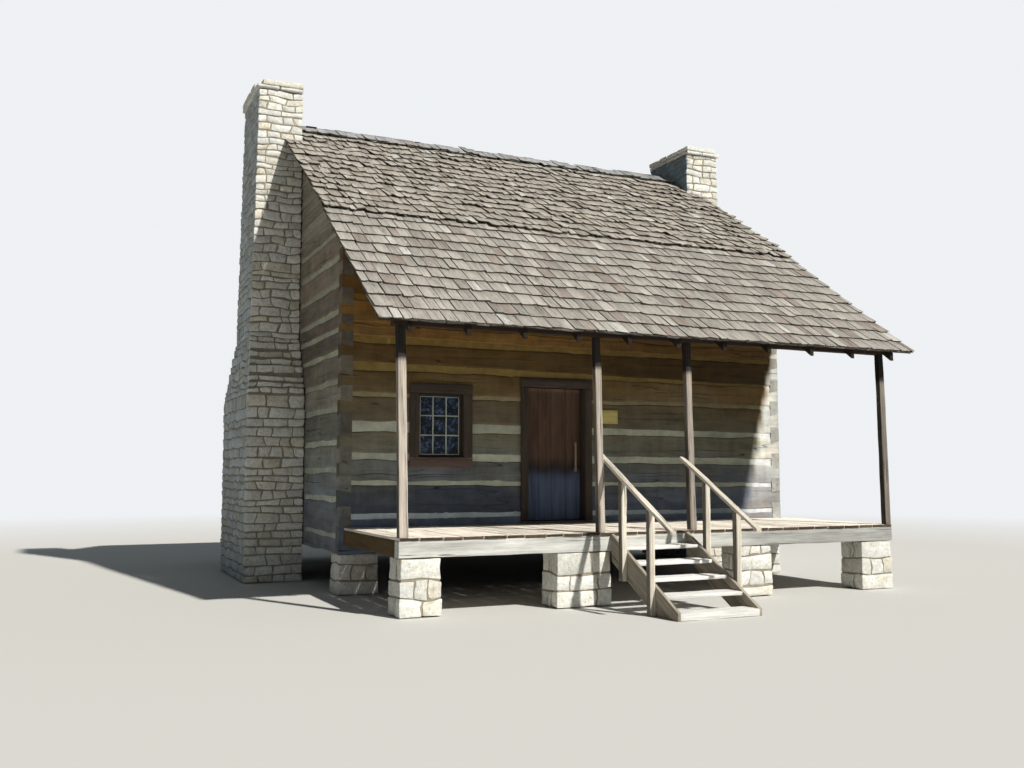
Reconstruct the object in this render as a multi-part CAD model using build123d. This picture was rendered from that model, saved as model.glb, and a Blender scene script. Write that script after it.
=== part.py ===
from build123d import *
import math
import os

# One-and-a-half storey hewn-log cabin with a front porch, on stone piers.
# Lengths are millimetres. X runs along the front, Y runs into the house and Z is up.
# While it is drawn, X = 0 is the middle of the house, Y = 0 the porch's front edge, Z = 0 the ground.

# House body
house_width = 7200
house_depth = 6200
wall_thickness = 160
floor_height = 880
sill_drop = 345
floor_thickness = 32
floor_joist_depth = 170
floor_joist_width = 80
floor_joist_count = 9

# Log courses, counted up from the sill
course_count = 12
course_pitch = 374
notch_share = 0.22
notch_rise = 34
log_wane = 16
side_chink = 70
chink_recess = 14
# Each joint between front logs: height over the even course, fall to the right, gap at left, gap at right
joint_shapes = [
    (100, 20, 70, 60),
    (146, 66, 55, 63),
    (129, 56, 97, 94),
    (162, 26, 150, 62),
    (226, 12, 58, 45),
    (213, 48, 112, 20),
    (217, 30, 90, 40),
    (43, 60, 26, 32),
    (50, -30, 70, 50),
    (40, 24, 60, 60),
    (30, -20, 50, 60),
]

# Porch
porch_depth = 2300
porch_shift = 65
porch_board = 38
beam_height = 187
beam_width = 150
beam_setback = 18
porch_joist_height = 140
porch_joist_width = 60
porch_joist_rows = 3
porch_joist_to_wall = 133
post_widths = [106, 90, 92, 100]
post_depth = 88
post_front = 10
post_lean = 45
post_taper = 8
post_chamfer = 10
end_post_insets = [57, 66]
door_post_gaps = [99, 306]
cross_beam_places = [-1214, 1316]
porch_plate_height = 110
porch_plate_width = 115
porch_plate_overrun = 20

# Roof
main_pitch = 33.4
porch_pitch = 35.7
roof_skin = 70
rafter_depth = 110
rafter_width = 60
rafter_count = 11
rafter_seat = 45
porch_rafter_depth = 90
porch_rafter_seat = 48
porch_eave = 314
back_eave = 300
gable_eave = 290
main_lap = 175
lap_skin = 30
lap_gap = 2
rafter_tail_setback = 40
porch_tail_setback = 80
gable_board = 60
roof_clearance = 2

# Stone piers
porch_pier_widths = [522, 760, 560, 580]
porch_pier_depth = 440
house_pier_width = 560
house_pier_depth = 480
pier_taper = 18

# Chimneys
hearth_width = 2200
hearth_depth = 860
hearth_height = 2750
shoulder_height = 900
shaft_width = 1270
shaft_depth = 700
shaft_batter = 60
chimney_above_ridge = 456
cap_height = 150
cap_overhang = 35
cap_step = 90
cap_step_length = 270
flue_width = 620
flue_depth = 260
flue_length = 1500
chimney_clearance = 12

# Door
door_left = -869
door_clear_width = 916
door_clear_height = 1940
door_lining = 50
door_head = 115
threshold_height = 25
casing_thickness = 25
door_casing_width = 115
leaf_thickness = 35
leaf_clearance = 8
batten_thickness = 24
batten_height = 130
batten_inset = 70
batten_from_bottom = 227
batten_from_top = 242
handle_height = 430
handle_bottom = 728
handle_width = 26
handle_offset = 52
handle_edge_gap = 97
strap_thickness = 5
strap_height = 45
strap_length = 560
pin_radius = 8
pin_running_gap = 0.3
eye_wall = 6
pin_offset = 16

# Window
window_left = -2516
window_clear_width = 656
window_bottom = 920
window_clear_height = 880
window_lining = 60
window_casing_width = 130
sash_recess = 80
sash_thickness = 34
sash_stile = 36
sash_gap = 3
glass_thickness = 4

# Steps
step_rise = 160
step_run = 290
tread_count = 4
tread_thickness = 42
tread_depth = 262
foot_board_height = 80
stringer_thickness = 45
stringer_depth = 290
stringer_drop = 20
stringer_left = -851
stringer_right = 225
tread_housing = 12
rail_post_width = 72
rail_post_fronts = [-365, -968]
rail_height = 865
rail_thickness = 36
rail_width = 72
rail_places = [-936, 215]
rail_reaches = [155, 100]

# Bare board beside the door
plaque_left = 300
plaque_width = 300
plaque_height = 200
plaque_bottom = 1434
plaque_thickness = 18

# Places worked out from the sizes above
half_width = house_width / 2
porch_width = house_width
back_face = porch_depth + house_depth
ridge_y = porch_depth + house_depth / 2
sill_bottom = floor_height - sill_drop
plate_top = sill_bottom + course_count * course_pitch
porch_left = porch_shift - porch_width / 2
porch_right = porch_shift + porch_width / 2
post_places = [
    porch_left + end_post_insets[0],
    door_left - door_post_gaps[0],
    door_left + door_clear_width + door_post_gaps[1],
    porch_right - end_post_insets[1],
]
porch_pier_places = [
    porch_left + porch_pier_widths[0] / 2,
    cross_beam_places[0],
    cross_beam_places[1],
    porch_right - porch_pier_widths[3] / 2,
]
batten_places = [
    threshold_height + leaf_clearance + batten_from_bottom,
    door_clear_height - leaf_clearance - batten_from_top - batten_height,
]
beam_top = floor_height - porch_board
beam_bottom = beam_top - beam_height
main_slope = math.tan(math.radians(main_pitch))
porch_slope = math.tan(math.radians(porch_pitch))
main_plumb_skin = roof_skin / math.cos(math.radians(main_pitch))
main_plumb_rafter = rafter_depth / math.cos(math.radians(main_pitch))
lap_plumb_skin = lap_skin / math.cos(math.radians(main_pitch))
porch_plumb_skin = roof_skin / math.cos(math.radians(porch_pitch))
porch_plumb_rafter = porch_rafter_depth / math.cos(math.radians(porch_pitch))
step_slope = step_rise / step_run
steps_front = -((tread_count + 1) * step_rise - stringer_drop) / step_slope
back_of_roof = back_face + back_eave
middle_y = (steps_front + back_of_roof) / 2


def main_roof_top(y):
    """Height of the top of the main roof over a distance from the porch edge."""
    at_wall = plate_top - rafter_seat + main_plumb_rafter + main_plumb_skin
    return at_wall + main_slope * (house_depth / 2 - abs(ridge_y - y))


def main_skin_under(y):
    return main_roof_top(y) - main_plumb_skin


def main_rafter_under(y):
    return main_skin_under(y) - main_plumb_rafter


def lip_under(y):
    """Height of the underside of the main roof's thin lower edge, which laps over the porch roof."""
    return main_roof_top(y) - lap_plumb_skin


def porch_roof_top(y):
    """Height of the top of the porch roof, which tucks under the main roof at the wall."""
    at_wall = lip_under(porch_depth) - lap_gap
    return at_wall - porch_slope * (porch_depth - y)


def porch_skin_under(y):
    return porch_roof_top(y) - porch_plumb_skin


def porch_rafter_under(y):
    return porch_skin_under(y) - porch_plumb_rafter


def stringer_top(y):
    """Height of the stringers' top edge; the treads' front corners lie on it."""
    return floor_height - stringer_drop + step_slope * y


ridge_top = main_roof_top(ridge_y)
chimney_top = ridge_top + chimney_above_ridge
porch_plate_top = porch_rafter_under(post_front) + porch_rafter_seat
post_top = porch_plate_top - porch_plate_height


# Building blocks

def box(x0, x1, y0, y1, z0, z1):
    """Square-edged block between two corners."""
    middle = Pos((x0 + x1) / 2, (y0 + y1) / 2, (z0 + z1) / 2)
    return middle * Box(x1 - x0, y1 - y0, z1 - z0)


def run_outline(points, direction, length):
    """Solid made by running a flat outline of (x, y, z) points along a direction."""
    outline = make_face(Polyline(*[Vector(*p) for p in points], close=True))
    return extrude(outline, amount=length, dir=direction)


def run_along_x(points, x0, x1):
    """Solid with an outline of (y, z) points, from x0 to x1."""
    return run_outline([(x0, y, z) for y, z in points], (1, 0, 0), x1 - x0)


def tapered_block(x0, x1, y0, y1, z0, z1, draw_in):
    """Rough masonry block that is narrower at the top by draw_in on each side."""
    low = Pos((x0 + x1) / 2, (y0 + y1) / 2, z0) * Rectangle(x1 - x0, y1 - y0)
    high = Pos((x0 + x1) / 2, (y0 + y1) / 2, z1) * Rectangle(x1 - x0 - 2 * draw_in, y1 - y0 - 2 * draw_in)
    return loft([low.face(), high.face()])


def save(name, pieces):
    """Write one named piece, or several solids that share a name, centred over the origin."""
    solids = []
    for piece in pieces:
        solids.extend(piece.solids())
    moved = [Pos(0, -middle_y, 0) * solid for solid in solids]
    whole = moved[0] if len(moved) == 1 else Compound(children=moved)
    export_step(whole, "parts/" + name + ".step")


# Log walls. Each wall is drawn by distance along it, depth in from its outer face, and height.

def front_place(along, depth, z):
    return (along - half_width, porch_depth + depth, z)


def back_place(along, depth, z):
    return (along - half_width, back_face - depth, z)


def left_place(along, depth, z):
    return (depth - half_width, porch_depth + along, z)


def right_place(along, depth, z):
    return (half_width - depth, porch_depth + along, z)


def joint(number, side):
    """Bottom and top of the chinked gap above a front log, at side 0 (left) or 1 (right)."""
    even = sill_bottom + number * course_pitch
    if number == 0 or number == course_count:
        return even, even
    rise, fall, gap_left, gap_right = joint_shapes[number - 1]
    middle = even + rise + fall * (0.5 - side)
    gap = gap_right if side else gap_left
    return middle - gap / 2, middle + gap / 2


def log_bottom(course, side):
    return joint(course - 1, side)[1]


def log_top(course, side):
    return joint(course, side)[0]


def log_middle(course, side):
    return (log_bottom(course, side) + log_top(course, side)) / 2


def tongue_bottom(course, side):
    """Height where a front log's notched end rests on the side log under it."""
    if course == 1:
        return log_bottom(course, side)
    return log_bottom(course, side) + notch_share * (log_top(course, side) - log_bottom(course, side))


def tongue_top(course, side):
    """Height where the next side log rests on a front log's notched end."""
    if course == course_count:
        return log_top(course, side)
    return log_top(course, side) - notch_share * (log_top(course, side) - log_bottom(course, side))


def notched_log(place, length, ends):
    """Hewn log with a half-dovetail tongue at each end.

    ends holds, for the near and the far end, the heights of the log's bottom and top and of its
    tongue's bottom and top, and whether the tongue's bottom and top are cut to the dovetail slope.
    """
    (low_a, high_a, under_a, over_a), (low_b, high_b, under_b, over_b), sloped_under, sloped_over = ends
    half = notch_rise / 2
    under_slope = half if sloped_under else 0
    over_slope = half if sloped_over else 0
    inner_a = wall_thickness
    inner_b = length - wall_thickness
    outline = [
        (0, under_a - under_slope),
        (inner_a, under_a - under_slope),
        (inner_a, low_a),
        (inner_b, low_b),
        (inner_b, under_b - under_slope),
        (length, under_b - under_slope),
        (length, over_b + over_slope),
        (inner_b, over_b - over_slope),
        (inner_b, high_b),
        (inner_a, high_a),
        (inner_a, over_a - over_slope),
        (0, over_a + over_slope),
    ]
    cleaned = [p for i, p in enumerate(outline) if p != outline[i - 1]]
    origin = Vector(*place(0, 0, 0))
    inward = Vector(*place(0, 1, 0)) - origin
    onward = Vector(*place(1, 0, 0)) - origin
    log = run_outline([place(a, 0, z) for a, z in cleaned], inward, wall_thickness)
    if sloped_under:
        for start, under in ((0, under_a), (inner_b, under_b)):
            wedge = [(wall_thickness, under - half), (0, under - half), (0, under + half)]
            log -= run_outline([place(start, d, z) for d, z in wedge], onward, wall_thickness)
    long_edges = [edge for edge in log.edges() if edge.length > length / 2]
    return chamfer(long_edges, log_wane)


def front_log(course, place):
    """Log of the front or back wall, with its own height at the left and right corners."""
    corners = []
    for side in (0, 1):
        corners.append((
            log_bottom(course, side),
            log_top(course, side),
            tongue_bottom(course, side),
            tongue_top(course, side),
        ))
    return notched_log(place, house_width, (corners[0], corners[1], course > 1, course < course_count))


def side_log(course, place, side):
    """Log of a side wall; its notched ends fill the corner between two front logs."""
    bottom = log_middle(course, side) + side_chink / 2
    top = log_middle(course + 1, side) - side_chink / 2
    corner = (bottom, top, tongue_top(course, side), tongue_bottom(course + 1, side))
    return notched_log(place, house_depth, (corner, corner, True, True))


def front_chink(number, place):
    """Clay strip in the gap above a front log, set back from both faces."""
    left, right = wall_thickness, house_width - wall_thickness
    outline = [
        (left, joint(number, 0)[0]),
        (right, joint(number, 1)[0]),
        (right, joint(number, 1)[1]),
        (left, joint(number, 0)[1]),
    ]
    origin = Vector(*place(0, 0, 0))
    inward = Vector(*place(0, 1, 0)) - origin
    points = [place(a, chink_recess, z) for a, z in outline]
    return run_outline(points, inward, wall_thickness - 2 * chink_recess)


def side_strip(place, bottom, top, recess):
    """Straight strip between the two corners of a side wall."""
    x0, y0, z0 = place(wall_thickness, recess, bottom)
    x1, y1, z1 = place(house_depth - wall_thickness, wall_thickness - recess, top)
    return box(min(x0, x1), max(x0, x1), y0, y1, z0, z1)


def build_side_wall(name, place, side):
    """Side wall logs, with a plain half log at the sill and under the gable."""
    sill_top = log_middle(1, side) - side_chink / 2
    half_bottom = log_middle(course_count, side) + side_chink / 2
    logs = [side_strip(place, sill_bottom, sill_top, 0)]
    logs += [side_log(course, place, side) for course in range(1, course_count)]
    logs.append(side_strip(place, half_bottom, plate_top, 0))
    save(name + "_wall", logs)


def build_side_chinking():
    """Clay strips of both side walls."""
    chinks = []
    for place, side in ((left_place, 0), (right_place, 1)):
        for course in range(1, course_count + 1):
            middle = log_middle(course, side)
            chinks.append(side_strip(place, middle - side_chink / 2, middle + side_chink / 2, chink_recess))
    save("side_chinking", chinks)


def door_head_course():
    """The first log whose top is above the door's head; it is sawn right through."""
    needed = floor_height + door_clear_height + door_head
    courses = range(1, course_count)
    return next(c for c in courses if min(log_top(c, 0), log_top(c, 1)) >= needed)


def door_frame_top():
    course = door_head_course()
    return min(log_top(course, 0), log_top(course, 1))


def door_hole(over):
    """Space sawn out of the logs for the door and its frame, and a little over it."""
    return box(
        door_left - door_lining,
        door_left + door_clear_width + door_lining,
        porch_depth - wall_thickness,
        porch_depth + 2 * wall_thickness,
        floor_height,
        door_frame_top() + over,
    )


def window_hole():
    """Space sawn out of the logs for the window and its frame."""
    return box(
        window_left - window_lining,
        window_left + window_clear_width + window_lining,
        porch_depth - wall_thickness,
        porch_depth + 2 * wall_thickness,
        floor_height + window_bottom - window_lining,
        floor_height + window_bottom + window_clear_height + window_lining,
    )


def front_part_name(piece):
    """Which part of the front wall a log, or a sawn length of one, belongs to."""
    extent = piece.bounding_box()
    middle_z = extent.center().Z
    door_middle = floor_height + door_clear_height / 2
    window_middle = floor_height + window_bottom + window_clear_height / 2
    if extent.min.X < door_left < extent.max.X:
        return "front_wall_over_door" if middle_z > door_middle else "front_sill_log"
    if extent.min.X > door_left:
        return "front_wall_right_of_door"
    if extent.max.X < window_left or extent.min.X > window_left + window_clear_width:
        return "front_wall_beside_window"
    return "front_wall_over_window" if middle_z > window_middle else "front_wall_below_window"


def build_front_wall():
    """Front logs, shared out between the named parts of wall around the window and the door."""
    parts = {}
    for course in range(1, course_count + 1):
        log = front_log(course, front_place)
        if course <= door_head_course():
            log = log - door_hole(notch_rise) - window_hole()
        for piece in log.solids():
            parts.setdefault(front_part_name(piece), []).append(piece)
    for name, pieces in parts.items():
        save(name, pieces)
    chinks = []
    for number in range(1, course_count):
        strip = front_chink(number, front_place) - door_hole(0) - window_hole()
        chinks.extend(strip.solids())
    save("front_chinking", chinks)


def build_back_wall():
    """Back wall of whole logs."""
    save("back_wall", [front_log(course, back_place) for course in range(1, course_count + 1)])
    save("back_chinking", [front_chink(number, back_place) for number in range(1, course_count)])


def gable(x0, x1):
    """Boarded triangle between the top logs and the roof."""
    front = porch_depth
    back = back_face
    points = [
        (front, plate_top),
        (back, plate_top),
        (back, main_skin_under(back) - roof_clearance),
        (ridge_y, main_skin_under(ridge_y) - roof_clearance),
        (front, main_skin_under(front) - roof_clearance),
    ]
    return run_along_x(points, x0, x1)


def build_gables():
    left = gable(-half_width, gable_board - half_width)
    right = gable(half_width - gable_board, half_width)
    save("gables", [left, right])


# Foundations and floors

def pier(x, width, y0, depth, top):
    return tapered_block(x - width / 2, x + width / 2, y0, y0 + depth, 0, top, pier_taper)


def build_piers():
    porch = []
    for x, width in zip(porch_pier_places, porch_pier_widths):
        porch.append(pier(x, width, 0, porch_pier_depth, beam_bottom))
    save("porch_piers", porch)
    reach = half_width - house_pier_width / 2
    house = []
    for x in (-reach, 0, reach):
        for y in (porch_depth, back_face - house_pier_depth):
            house.append(pier(x, house_pier_width, y, house_pier_depth, sill_bottom))
    save("house_piers", house)


def build_house_floor():
    inner_front = porch_depth + wall_thickness
    inner_back = back_face - wall_thickness
    inner_left = wall_thickness - half_width
    joist_top = floor_height - floor_thickness
    save("house_floor", [box(inner_left, -inner_left, inner_front, inner_back, joist_top, floor_height)])
    joists = []
    span = house_width - 2 * wall_thickness - floor_joist_width
    for i in range(floor_joist_count):
        x = inner_left + floor_joist_width / 2 + span * i / (floor_joist_count - 1)
        joists.append(box(
            x - floor_joist_width / 2,
            x + floor_joist_width / 2,
            inner_front,
            inner_back,
            joist_top - floor_joist_depth,
            joist_top,
        ))
    save("house_floor_joists", joists)


def build_porch_floor():
    save("porch_floor", [box(porch_left, porch_right, 0, porch_depth, beam_top, floor_height)])
    front = box(porch_left, porch_right, beam_setback, beam_setback + beam_width, beam_bottom, beam_top)
    save("porch_front_beam", [front])
    cross_back = beam_setback + beam_width
    half = beam_width / 2
    places = [porch_left + half] + cross_beam_places + [porch_right - half]
    cross = [box(x - half, x + half, cross_back, porch_depth, beam_bottom, beam_top) for x in places]
    save("porch_cross_beams", cross)
    joists = []
    pitch = (porch_depth - porch_joist_to_wall - cross_back) / porch_joist_rows
    for row in range(1, porch_joist_rows + 1):
        y = cross_back + pitch * row
        for left, right in zip(places[:-1], places[1:]):
            joists.append(box(
                left + half,
                right - half,
                y - porch_joist_width / 2,
                y + porch_joist_width / 2,
                beam_top - porch_joist_height,
                beam_top,
            ))
    save("porch_joists", joists)


# Porch frame and roof

def post(x, width):
    """Rough hewn post that leans a little and is thinner at the top."""
    y = post_front + post_depth / 2
    low = Pos(x, y, floor_height) * Rectangle(width + post_taper, post_depth)
    high = Pos(x - post_lean, y, post_top) * Rectangle(width - post_taper, post_depth)
    upright = loft([low.face(), high.face()])
    arrises = [edge for edge in upright.edges() if edge.length > (post_top - floor_height) / 2]
    return chamfer(arrises, post_chamfer)


def build_porch_frame():
    save("porch_posts", [post(x, width) for x, width in zip(post_places, post_widths)])
    plate_end = half_width + porch_plate_overrun
    save("porch_plate", [box(
        -plate_end,
        plate_end,
        post_front,
        post_front + porch_plate_width,
        post_top,
        porch_plate_top,
    )])


def rafter_places():
    first = rafter_width / 2 + gable_board - half_width
    span = -2 * first
    return [first + span * i / (rafter_count - 1) for i in range(rafter_count)]


def build_porch_roof():
    tail = porch_tail_setback - porch_eave
    seat_front = post_front
    seat_back = post_front + porch_rafter_seat / porch_slope
    points = [
        (tail, porch_rafter_under(tail)),
        (seat_front, porch_rafter_under(seat_front)),
        (seat_front, porch_plate_top),
        (seat_back, porch_plate_top),
        (porch_depth, porch_rafter_under(porch_depth)),
        (porch_depth, porch_skin_under(porch_depth)),
        (tail, porch_skin_under(tail)),
    ]
    half = rafter_width / 2
    save("porch_rafters", [run_along_x(points, x - half, x + half) for x in rafter_places()])
    edge = half_width + gable_eave
    slab = [
        (-porch_eave, porch_skin_under(-porch_eave)),
        (porch_depth, porch_skin_under(porch_depth)),
        (porch_depth, porch_roof_top(porch_depth)),
        (-porch_eave, porch_roof_top(-porch_eave)),
    ]
    save("porch_roof", [run_along_x(slab, -edge, edge)])


def build_main_roof():
    half = rafter_width / 2
    seat_run = rafter_seat / main_slope
    front = [
        (porch_depth, plate_top),
        (porch_depth + seat_run, plate_top),
        (ridge_y, main_rafter_under(ridge_y)),
        (ridge_y, main_skin_under(ridge_y)),
        (porch_depth, main_skin_under(porch_depth)),
    ]
    tail = back_of_roof - rafter_tail_setback
    back = [
        (tail, main_rafter_under(tail)),
        (tail, main_skin_under(tail)),
        (ridge_y, main_skin_under(ridge_y)),
        (ridge_y, main_rafter_under(ridge_y)),
        (back_face - seat_run, plate_top),
        (back_face, plate_top),
        (back_face, main_rafter_under(back_face)),
    ]
    rafters = []
    for x in rafter_places():
        rafters.append(run_along_x(front, x - half, x + half))
        rafters.append(run_along_x(back, x - half, x + half))
    save("main_rafters", rafters)
    edge = half_width + gable_eave
    lip = porch_depth - main_lap
    lip_back = porch_depth + lap_gap
    front_slab = [
        (lip, lip_under(lip)),
        (lip_back, lip_under(lip_back)),
        (lip_back, main_skin_under(lip_back)),
        (ridge_y, main_skin_under(ridge_y)),
        (ridge_y, ridge_top),
        (lip, main_roof_top(lip)),
    ]
    back_slab = [
        (ridge_y, main_skin_under(ridge_y)),
        (back_of_roof, main_skin_under(back_of_roof)),
        (back_of_roof, main_roof_top(back_of_roof)),
        (ridge_y, ridge_top),
    ]
    save("front_roof", [run_along_x(front_slab, -edge, edge) - chimney_gaps()])
    save("back_roof", [run_along_x(back_slab, -edge, edge) - chimney_gaps()])


def chimney_gaps():
    """Notches in both roof edges where the chimney shafts pass."""
    reach = shaft_width / 2 + chimney_clearance
    left = box(
        -half_width - gable_eave - chimney_clearance,
        -half_width,
        ridge_y - reach,
        ridge_y + reach,
        plate_top,
        chimney_top,
    )
    return left + left.mirror(Plane.YZ)


# Chimneys

def chimney_stack(side):
    """Fieldstone hearth base, sloped shoulders and a battered shaft with a flue, outside a gable."""
    wall = side * half_width
    out = side * (half_width + hearth_depth)
    low_y = ridge_y - hearth_width / 2
    high_y = ridge_y + hearth_width / 2
    base = box(min(wall, out), max(wall, out), low_y, high_y, 0, hearth_height)
    shaft_out = shaft_depth + shaft_batter
    shoulder_top = hearth_height + shoulder_height
    bottom = Pos(wall + side * hearth_depth / 2, ridge_y, hearth_height)
    top = Pos(wall + side * shaft_out / 2, ridge_y, shoulder_top)
    shoulder = loft([
        (bottom * Rectangle(hearth_depth, hearth_width)).face(),
        (top * Rectangle(shaft_out, shaft_width)).face(),
    ])
    shaft_top = chimney_top - cap_height
    crown = Pos(wall + side * shaft_depth / 2, ridge_y, shaft_top)
    shaft = loft([
        (top * Rectangle(shaft_out, shaft_width)).face(),
        (crown * Rectangle(shaft_depth, shaft_width)).face(),
    ])
    return base + shoulder + shaft - flue(side, chimney_top - flue_length, shaft_top)


def flue(side, bottom, top):
    middle = side * (half_width + shaft_depth / 2)
    return box(
        middle - flue_depth / 2,
        middle + flue_depth / 2,
        ridge_y - flue_width / 2,
        ridge_y + flue_width / 2,
        bottom,
        top,
    )


def chimney_cap(side):
    """Course of cap stones round the flue, with one corner stone lower than the rest."""
    inner = side * half_width
    outer = side * (half_width + shaft_depth + cap_overhang)
    low_y = ridge_y - shaft_width / 2 - cap_overhang
    high_y = ridge_y + shaft_width / 2 + cap_overhang
    bottom = chimney_top - cap_height
    slab = box(min(inner, outer), max(inner, outer), low_y, high_y, bottom, chimney_top)
    step_in = outer - side * cap_step
    missing = box(
        min(step_in, outer),
        max(step_in, outer),
        low_y,
        low_y + cap_step_length,
        chimney_top - cap_step,
        chimney_top,
    )
    return slab - missing - flue(side, bottom, chimney_top)


def build_chimneys():
    save("left_chimney", [chimney_stack(-1)])
    save("right_chimney", [chimney_stack(1)])
    save("chimney_caps", [chimney_cap(-1), chimney_cap(1)])


# Door

def build_door_frame():
    """Threshold, jambs and head that line the sawn opening, with wide boards on the outer face."""
    left = door_left
    right = door_left + door_clear_width
    bottom = floor_height
    top = floor_height + door_clear_height
    inner_y = porch_depth + wall_thickness
    lining = box(
        left - door_lining,
        right + door_lining,
        porch_depth,
        inner_y,
        bottom,
        door_frame_top(),
    )
    casing = box(
        left - door_casing_width,
        right + door_casing_width,
        porch_depth - casing_thickness,
        porch_depth,
        bottom,
        top + door_casing_width,
    )
    clear = box(
        left,
        right,
        porch_depth - 2 * casing_thickness,
        inner_y + casing_thickness,
        bottom + threshold_height,
        top,
    )
    save("door_frame", [lining + casing - clear])


def leaf_edges():
    left = door_left + leaf_clearance
    right = door_left + door_clear_width - leaf_clearance
    bottom = floor_height + threshold_height + leaf_clearance
    top = floor_height + door_clear_height - leaf_clearance
    return left, right, bottom, top


def pin_place():
    """Centre of the hinge pins, beside the leaf and clear of its inner face."""
    inner_y = porch_depth + wall_thickness
    return door_left - pin_radius, inner_y + batten_thickness + strap_thickness / 2


def build_door_leaf():
    left, right, bottom, top = leaf_edges()
    inner_y = porch_depth + wall_thickness
    outer_y = inner_y - leaf_thickness
    save("door_leaf", [box(left, right, outer_y, inner_y, bottom, top)])
    battens = []
    for place in batten_places:
        z = floor_height + place
        battens.append(box(
            left + batten_inset,
            right - batten_inset,
            inner_y,
            inner_y + batten_thickness,
            z,
            z + batten_height,
        ))
    save("door_battens", battens)
    handle_x = right - handle_edge_gap
    z0 = floor_height + handle_bottom
    grip = box(
        handle_x - handle_width / 2,
        handle_x + handle_width / 2,
        outer_y - handle_offset,
        outer_y - handle_offset + handle_width,
        z0,
        z0 + handle_height,
    )
    for foot_z in (z0, z0 + handle_height - 2 * handle_width):
        grip += box(
            handle_x - handle_width / 2,
            handle_x + handle_width / 2,
            outer_y - handle_offset,
            outer_y,
            foot_z,
            foot_z + 2 * handle_width,
        )
    save("door_handle", [grip])


def build_door_hinges():
    """Strap hinges on the battens, each with an eye on a pin driven into the frame."""
    left = leaf_edges()[0]
    pin_x, pin_y = pin_place()
    eye_radius = pin_radius + pin_running_gap
    straps = []
    pins = []
    for place in batten_places:
        middle = floor_height + place + batten_height / 2
        low = middle - strap_height / 2
        batten_face = porch_depth + wall_thickness + batten_thickness
        strap = box(
            pin_x,
            left + batten_inset + strap_length,
            batten_face,
            batten_face + strap_thickness,
            low,
            low + strap_height,
        )
        at_pin = Pos(pin_x, pin_y, middle)
        strap += at_pin * Cylinder(eye_radius + eye_wall, strap_height)
        strap -= at_pin * Cylinder(eye_radius, strap_height * 2)
        straps.append(strap)
        pin = Pos(pin_x, pin_y, low - pin_offset / 2) * Cylinder(pin_radius + eye_wall, pin_offset)
        pin = Pos(0, 0, -pin_running_gap) * pin
        pin += Pos(pin_x, pin_y, middle) * Cylinder(pin_radius, strap_height + 2 * pin_running_gap)
        face = porch_depth + wall_thickness
        pin += box(
            pin_x - pin_radius,
            pin_x + pin_radius,
            face,
            pin_y,
            low - pin_offset - pin_running_gap,
            low - pin_running_gap,
        )
        pins.append(pin)
    save("door_hinge_straps", straps)
    save("door_hinge_pins", pins)


# Window

def build_window():
    left = window_left
    right = window_left + window_clear_width
    bottom = floor_height + window_bottom
    top = bottom + window_clear_height
    inner_y = porch_depth + wall_thickness
    lining = box(
        left - window_lining,
        right + window_lining,
        porch_depth,
        inner_y,
        bottom - window_lining,
        top + window_lining,
    )
    casing = box(
        left - window_casing_width,
        right + window_casing_width,
        porch_depth - casing_thickness,
        porch_depth,
        bottom - window_casing_width,
        top + window_casing_width,
    )
    clear = box(left, right, porch_depth - 2 * casing_thickness, inner_y + casing_thickness, bottom, top)
    save("window_frame", [lining + casing - clear])
    sash_front = porch_depth - casing_thickness + sash_recess
    outer = box(
        left + sash_gap,
        right - sash_gap,
        sash_front,
        sash_front + sash_thickness,
        bottom,
        top - sash_gap,
    )
    inset = sash_gap + sash_stile
    hole = box(
        left + inset,
        right - inset,
        sash_front - sash_thickness,
        sash_front + 2 * sash_thickness,
        bottom + inset,
        top - inset,
    )
    save("window_sash", [outer - hole])
    glass_front = sash_front + (sash_thickness - glass_thickness) / 2
    save("window_glass", [box(
        left + inset,
        right - inset,
        glass_front,
        glass_front + glass_thickness,
        bottom + inset,
        top - inset,
    )])


# Steps and handrails

def stringer(x0):
    """Sloping side board of the steps, cut level at the ground and plumb at both ends."""
    plumb_depth = stringer_depth / math.cos(math.atan(step_slope))
    foot_back = (plumb_depth - stringer_top(0)) / step_slope
    points = [
        (steps_front, 0),
        (foot_back, 0),
        (0, stringer_top(0) - plumb_depth),
        (0, stringer_top(0)),
        (steps_front, stringer_top(steps_front)),
    ]
    return run_along_x(points, x0, x0 + stringer_thickness)


def tread_front(number):
    return -(number * step_rise - stringer_drop) / step_slope


def build_steps():
    """Treads housed in grooves cut across the inner faces of the stringers."""
    left = stringer_left + stringer_thickness - tread_housing
    right = stringer_right + tread_housing
    treads = []
    for number in range(1, tread_count + 1):
        top = floor_height - number * step_rise
        front = tread_front(number)
        treads.append(box(left, right, front, front + tread_depth, top - tread_thickness, top))
    treads.append(box(left, right, steps_front, steps_front + tread_depth, 0, foot_board_height))
    save("step_treads", treads)
    save("step_stringers", [stringer(x) - treads for x in (stringer_left, stringer_right)])


def rail_under(y):
    return floor_height + rail_height - rail_thickness / math.cos(math.atan(step_slope)) + step_slope * y


def rail_post(x0, front):
    """Upright bolted to the outer face of a stringer, cut to the slope of the handrail."""
    back = front + rail_post_width
    plumb_depth = stringer_depth / math.cos(math.atan(step_slope))
    foot = max(0, stringer_top(front) - plumb_depth)
    points = [
        (front, foot),
        (back, foot),
        (back, rail_under(back)),
        (front, rail_under(front)),
    ]
    return run_along_x(points, x0, x0 + rail_post_width)


def handrail(x0, upper_y):
    lower_y = steps_front
    plumb = rail_thickness / math.cos(math.atan(step_slope))
    points = [
        (lower_y, rail_under(lower_y)),
        (upper_y, rail_under(upper_y)),
        (upper_y, rail_under(upper_y) + plumb),
        (lower_y, rail_under(lower_y) + plumb),
    ]
    return run_along_x(points, x0, x0 + rail_width)


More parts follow.
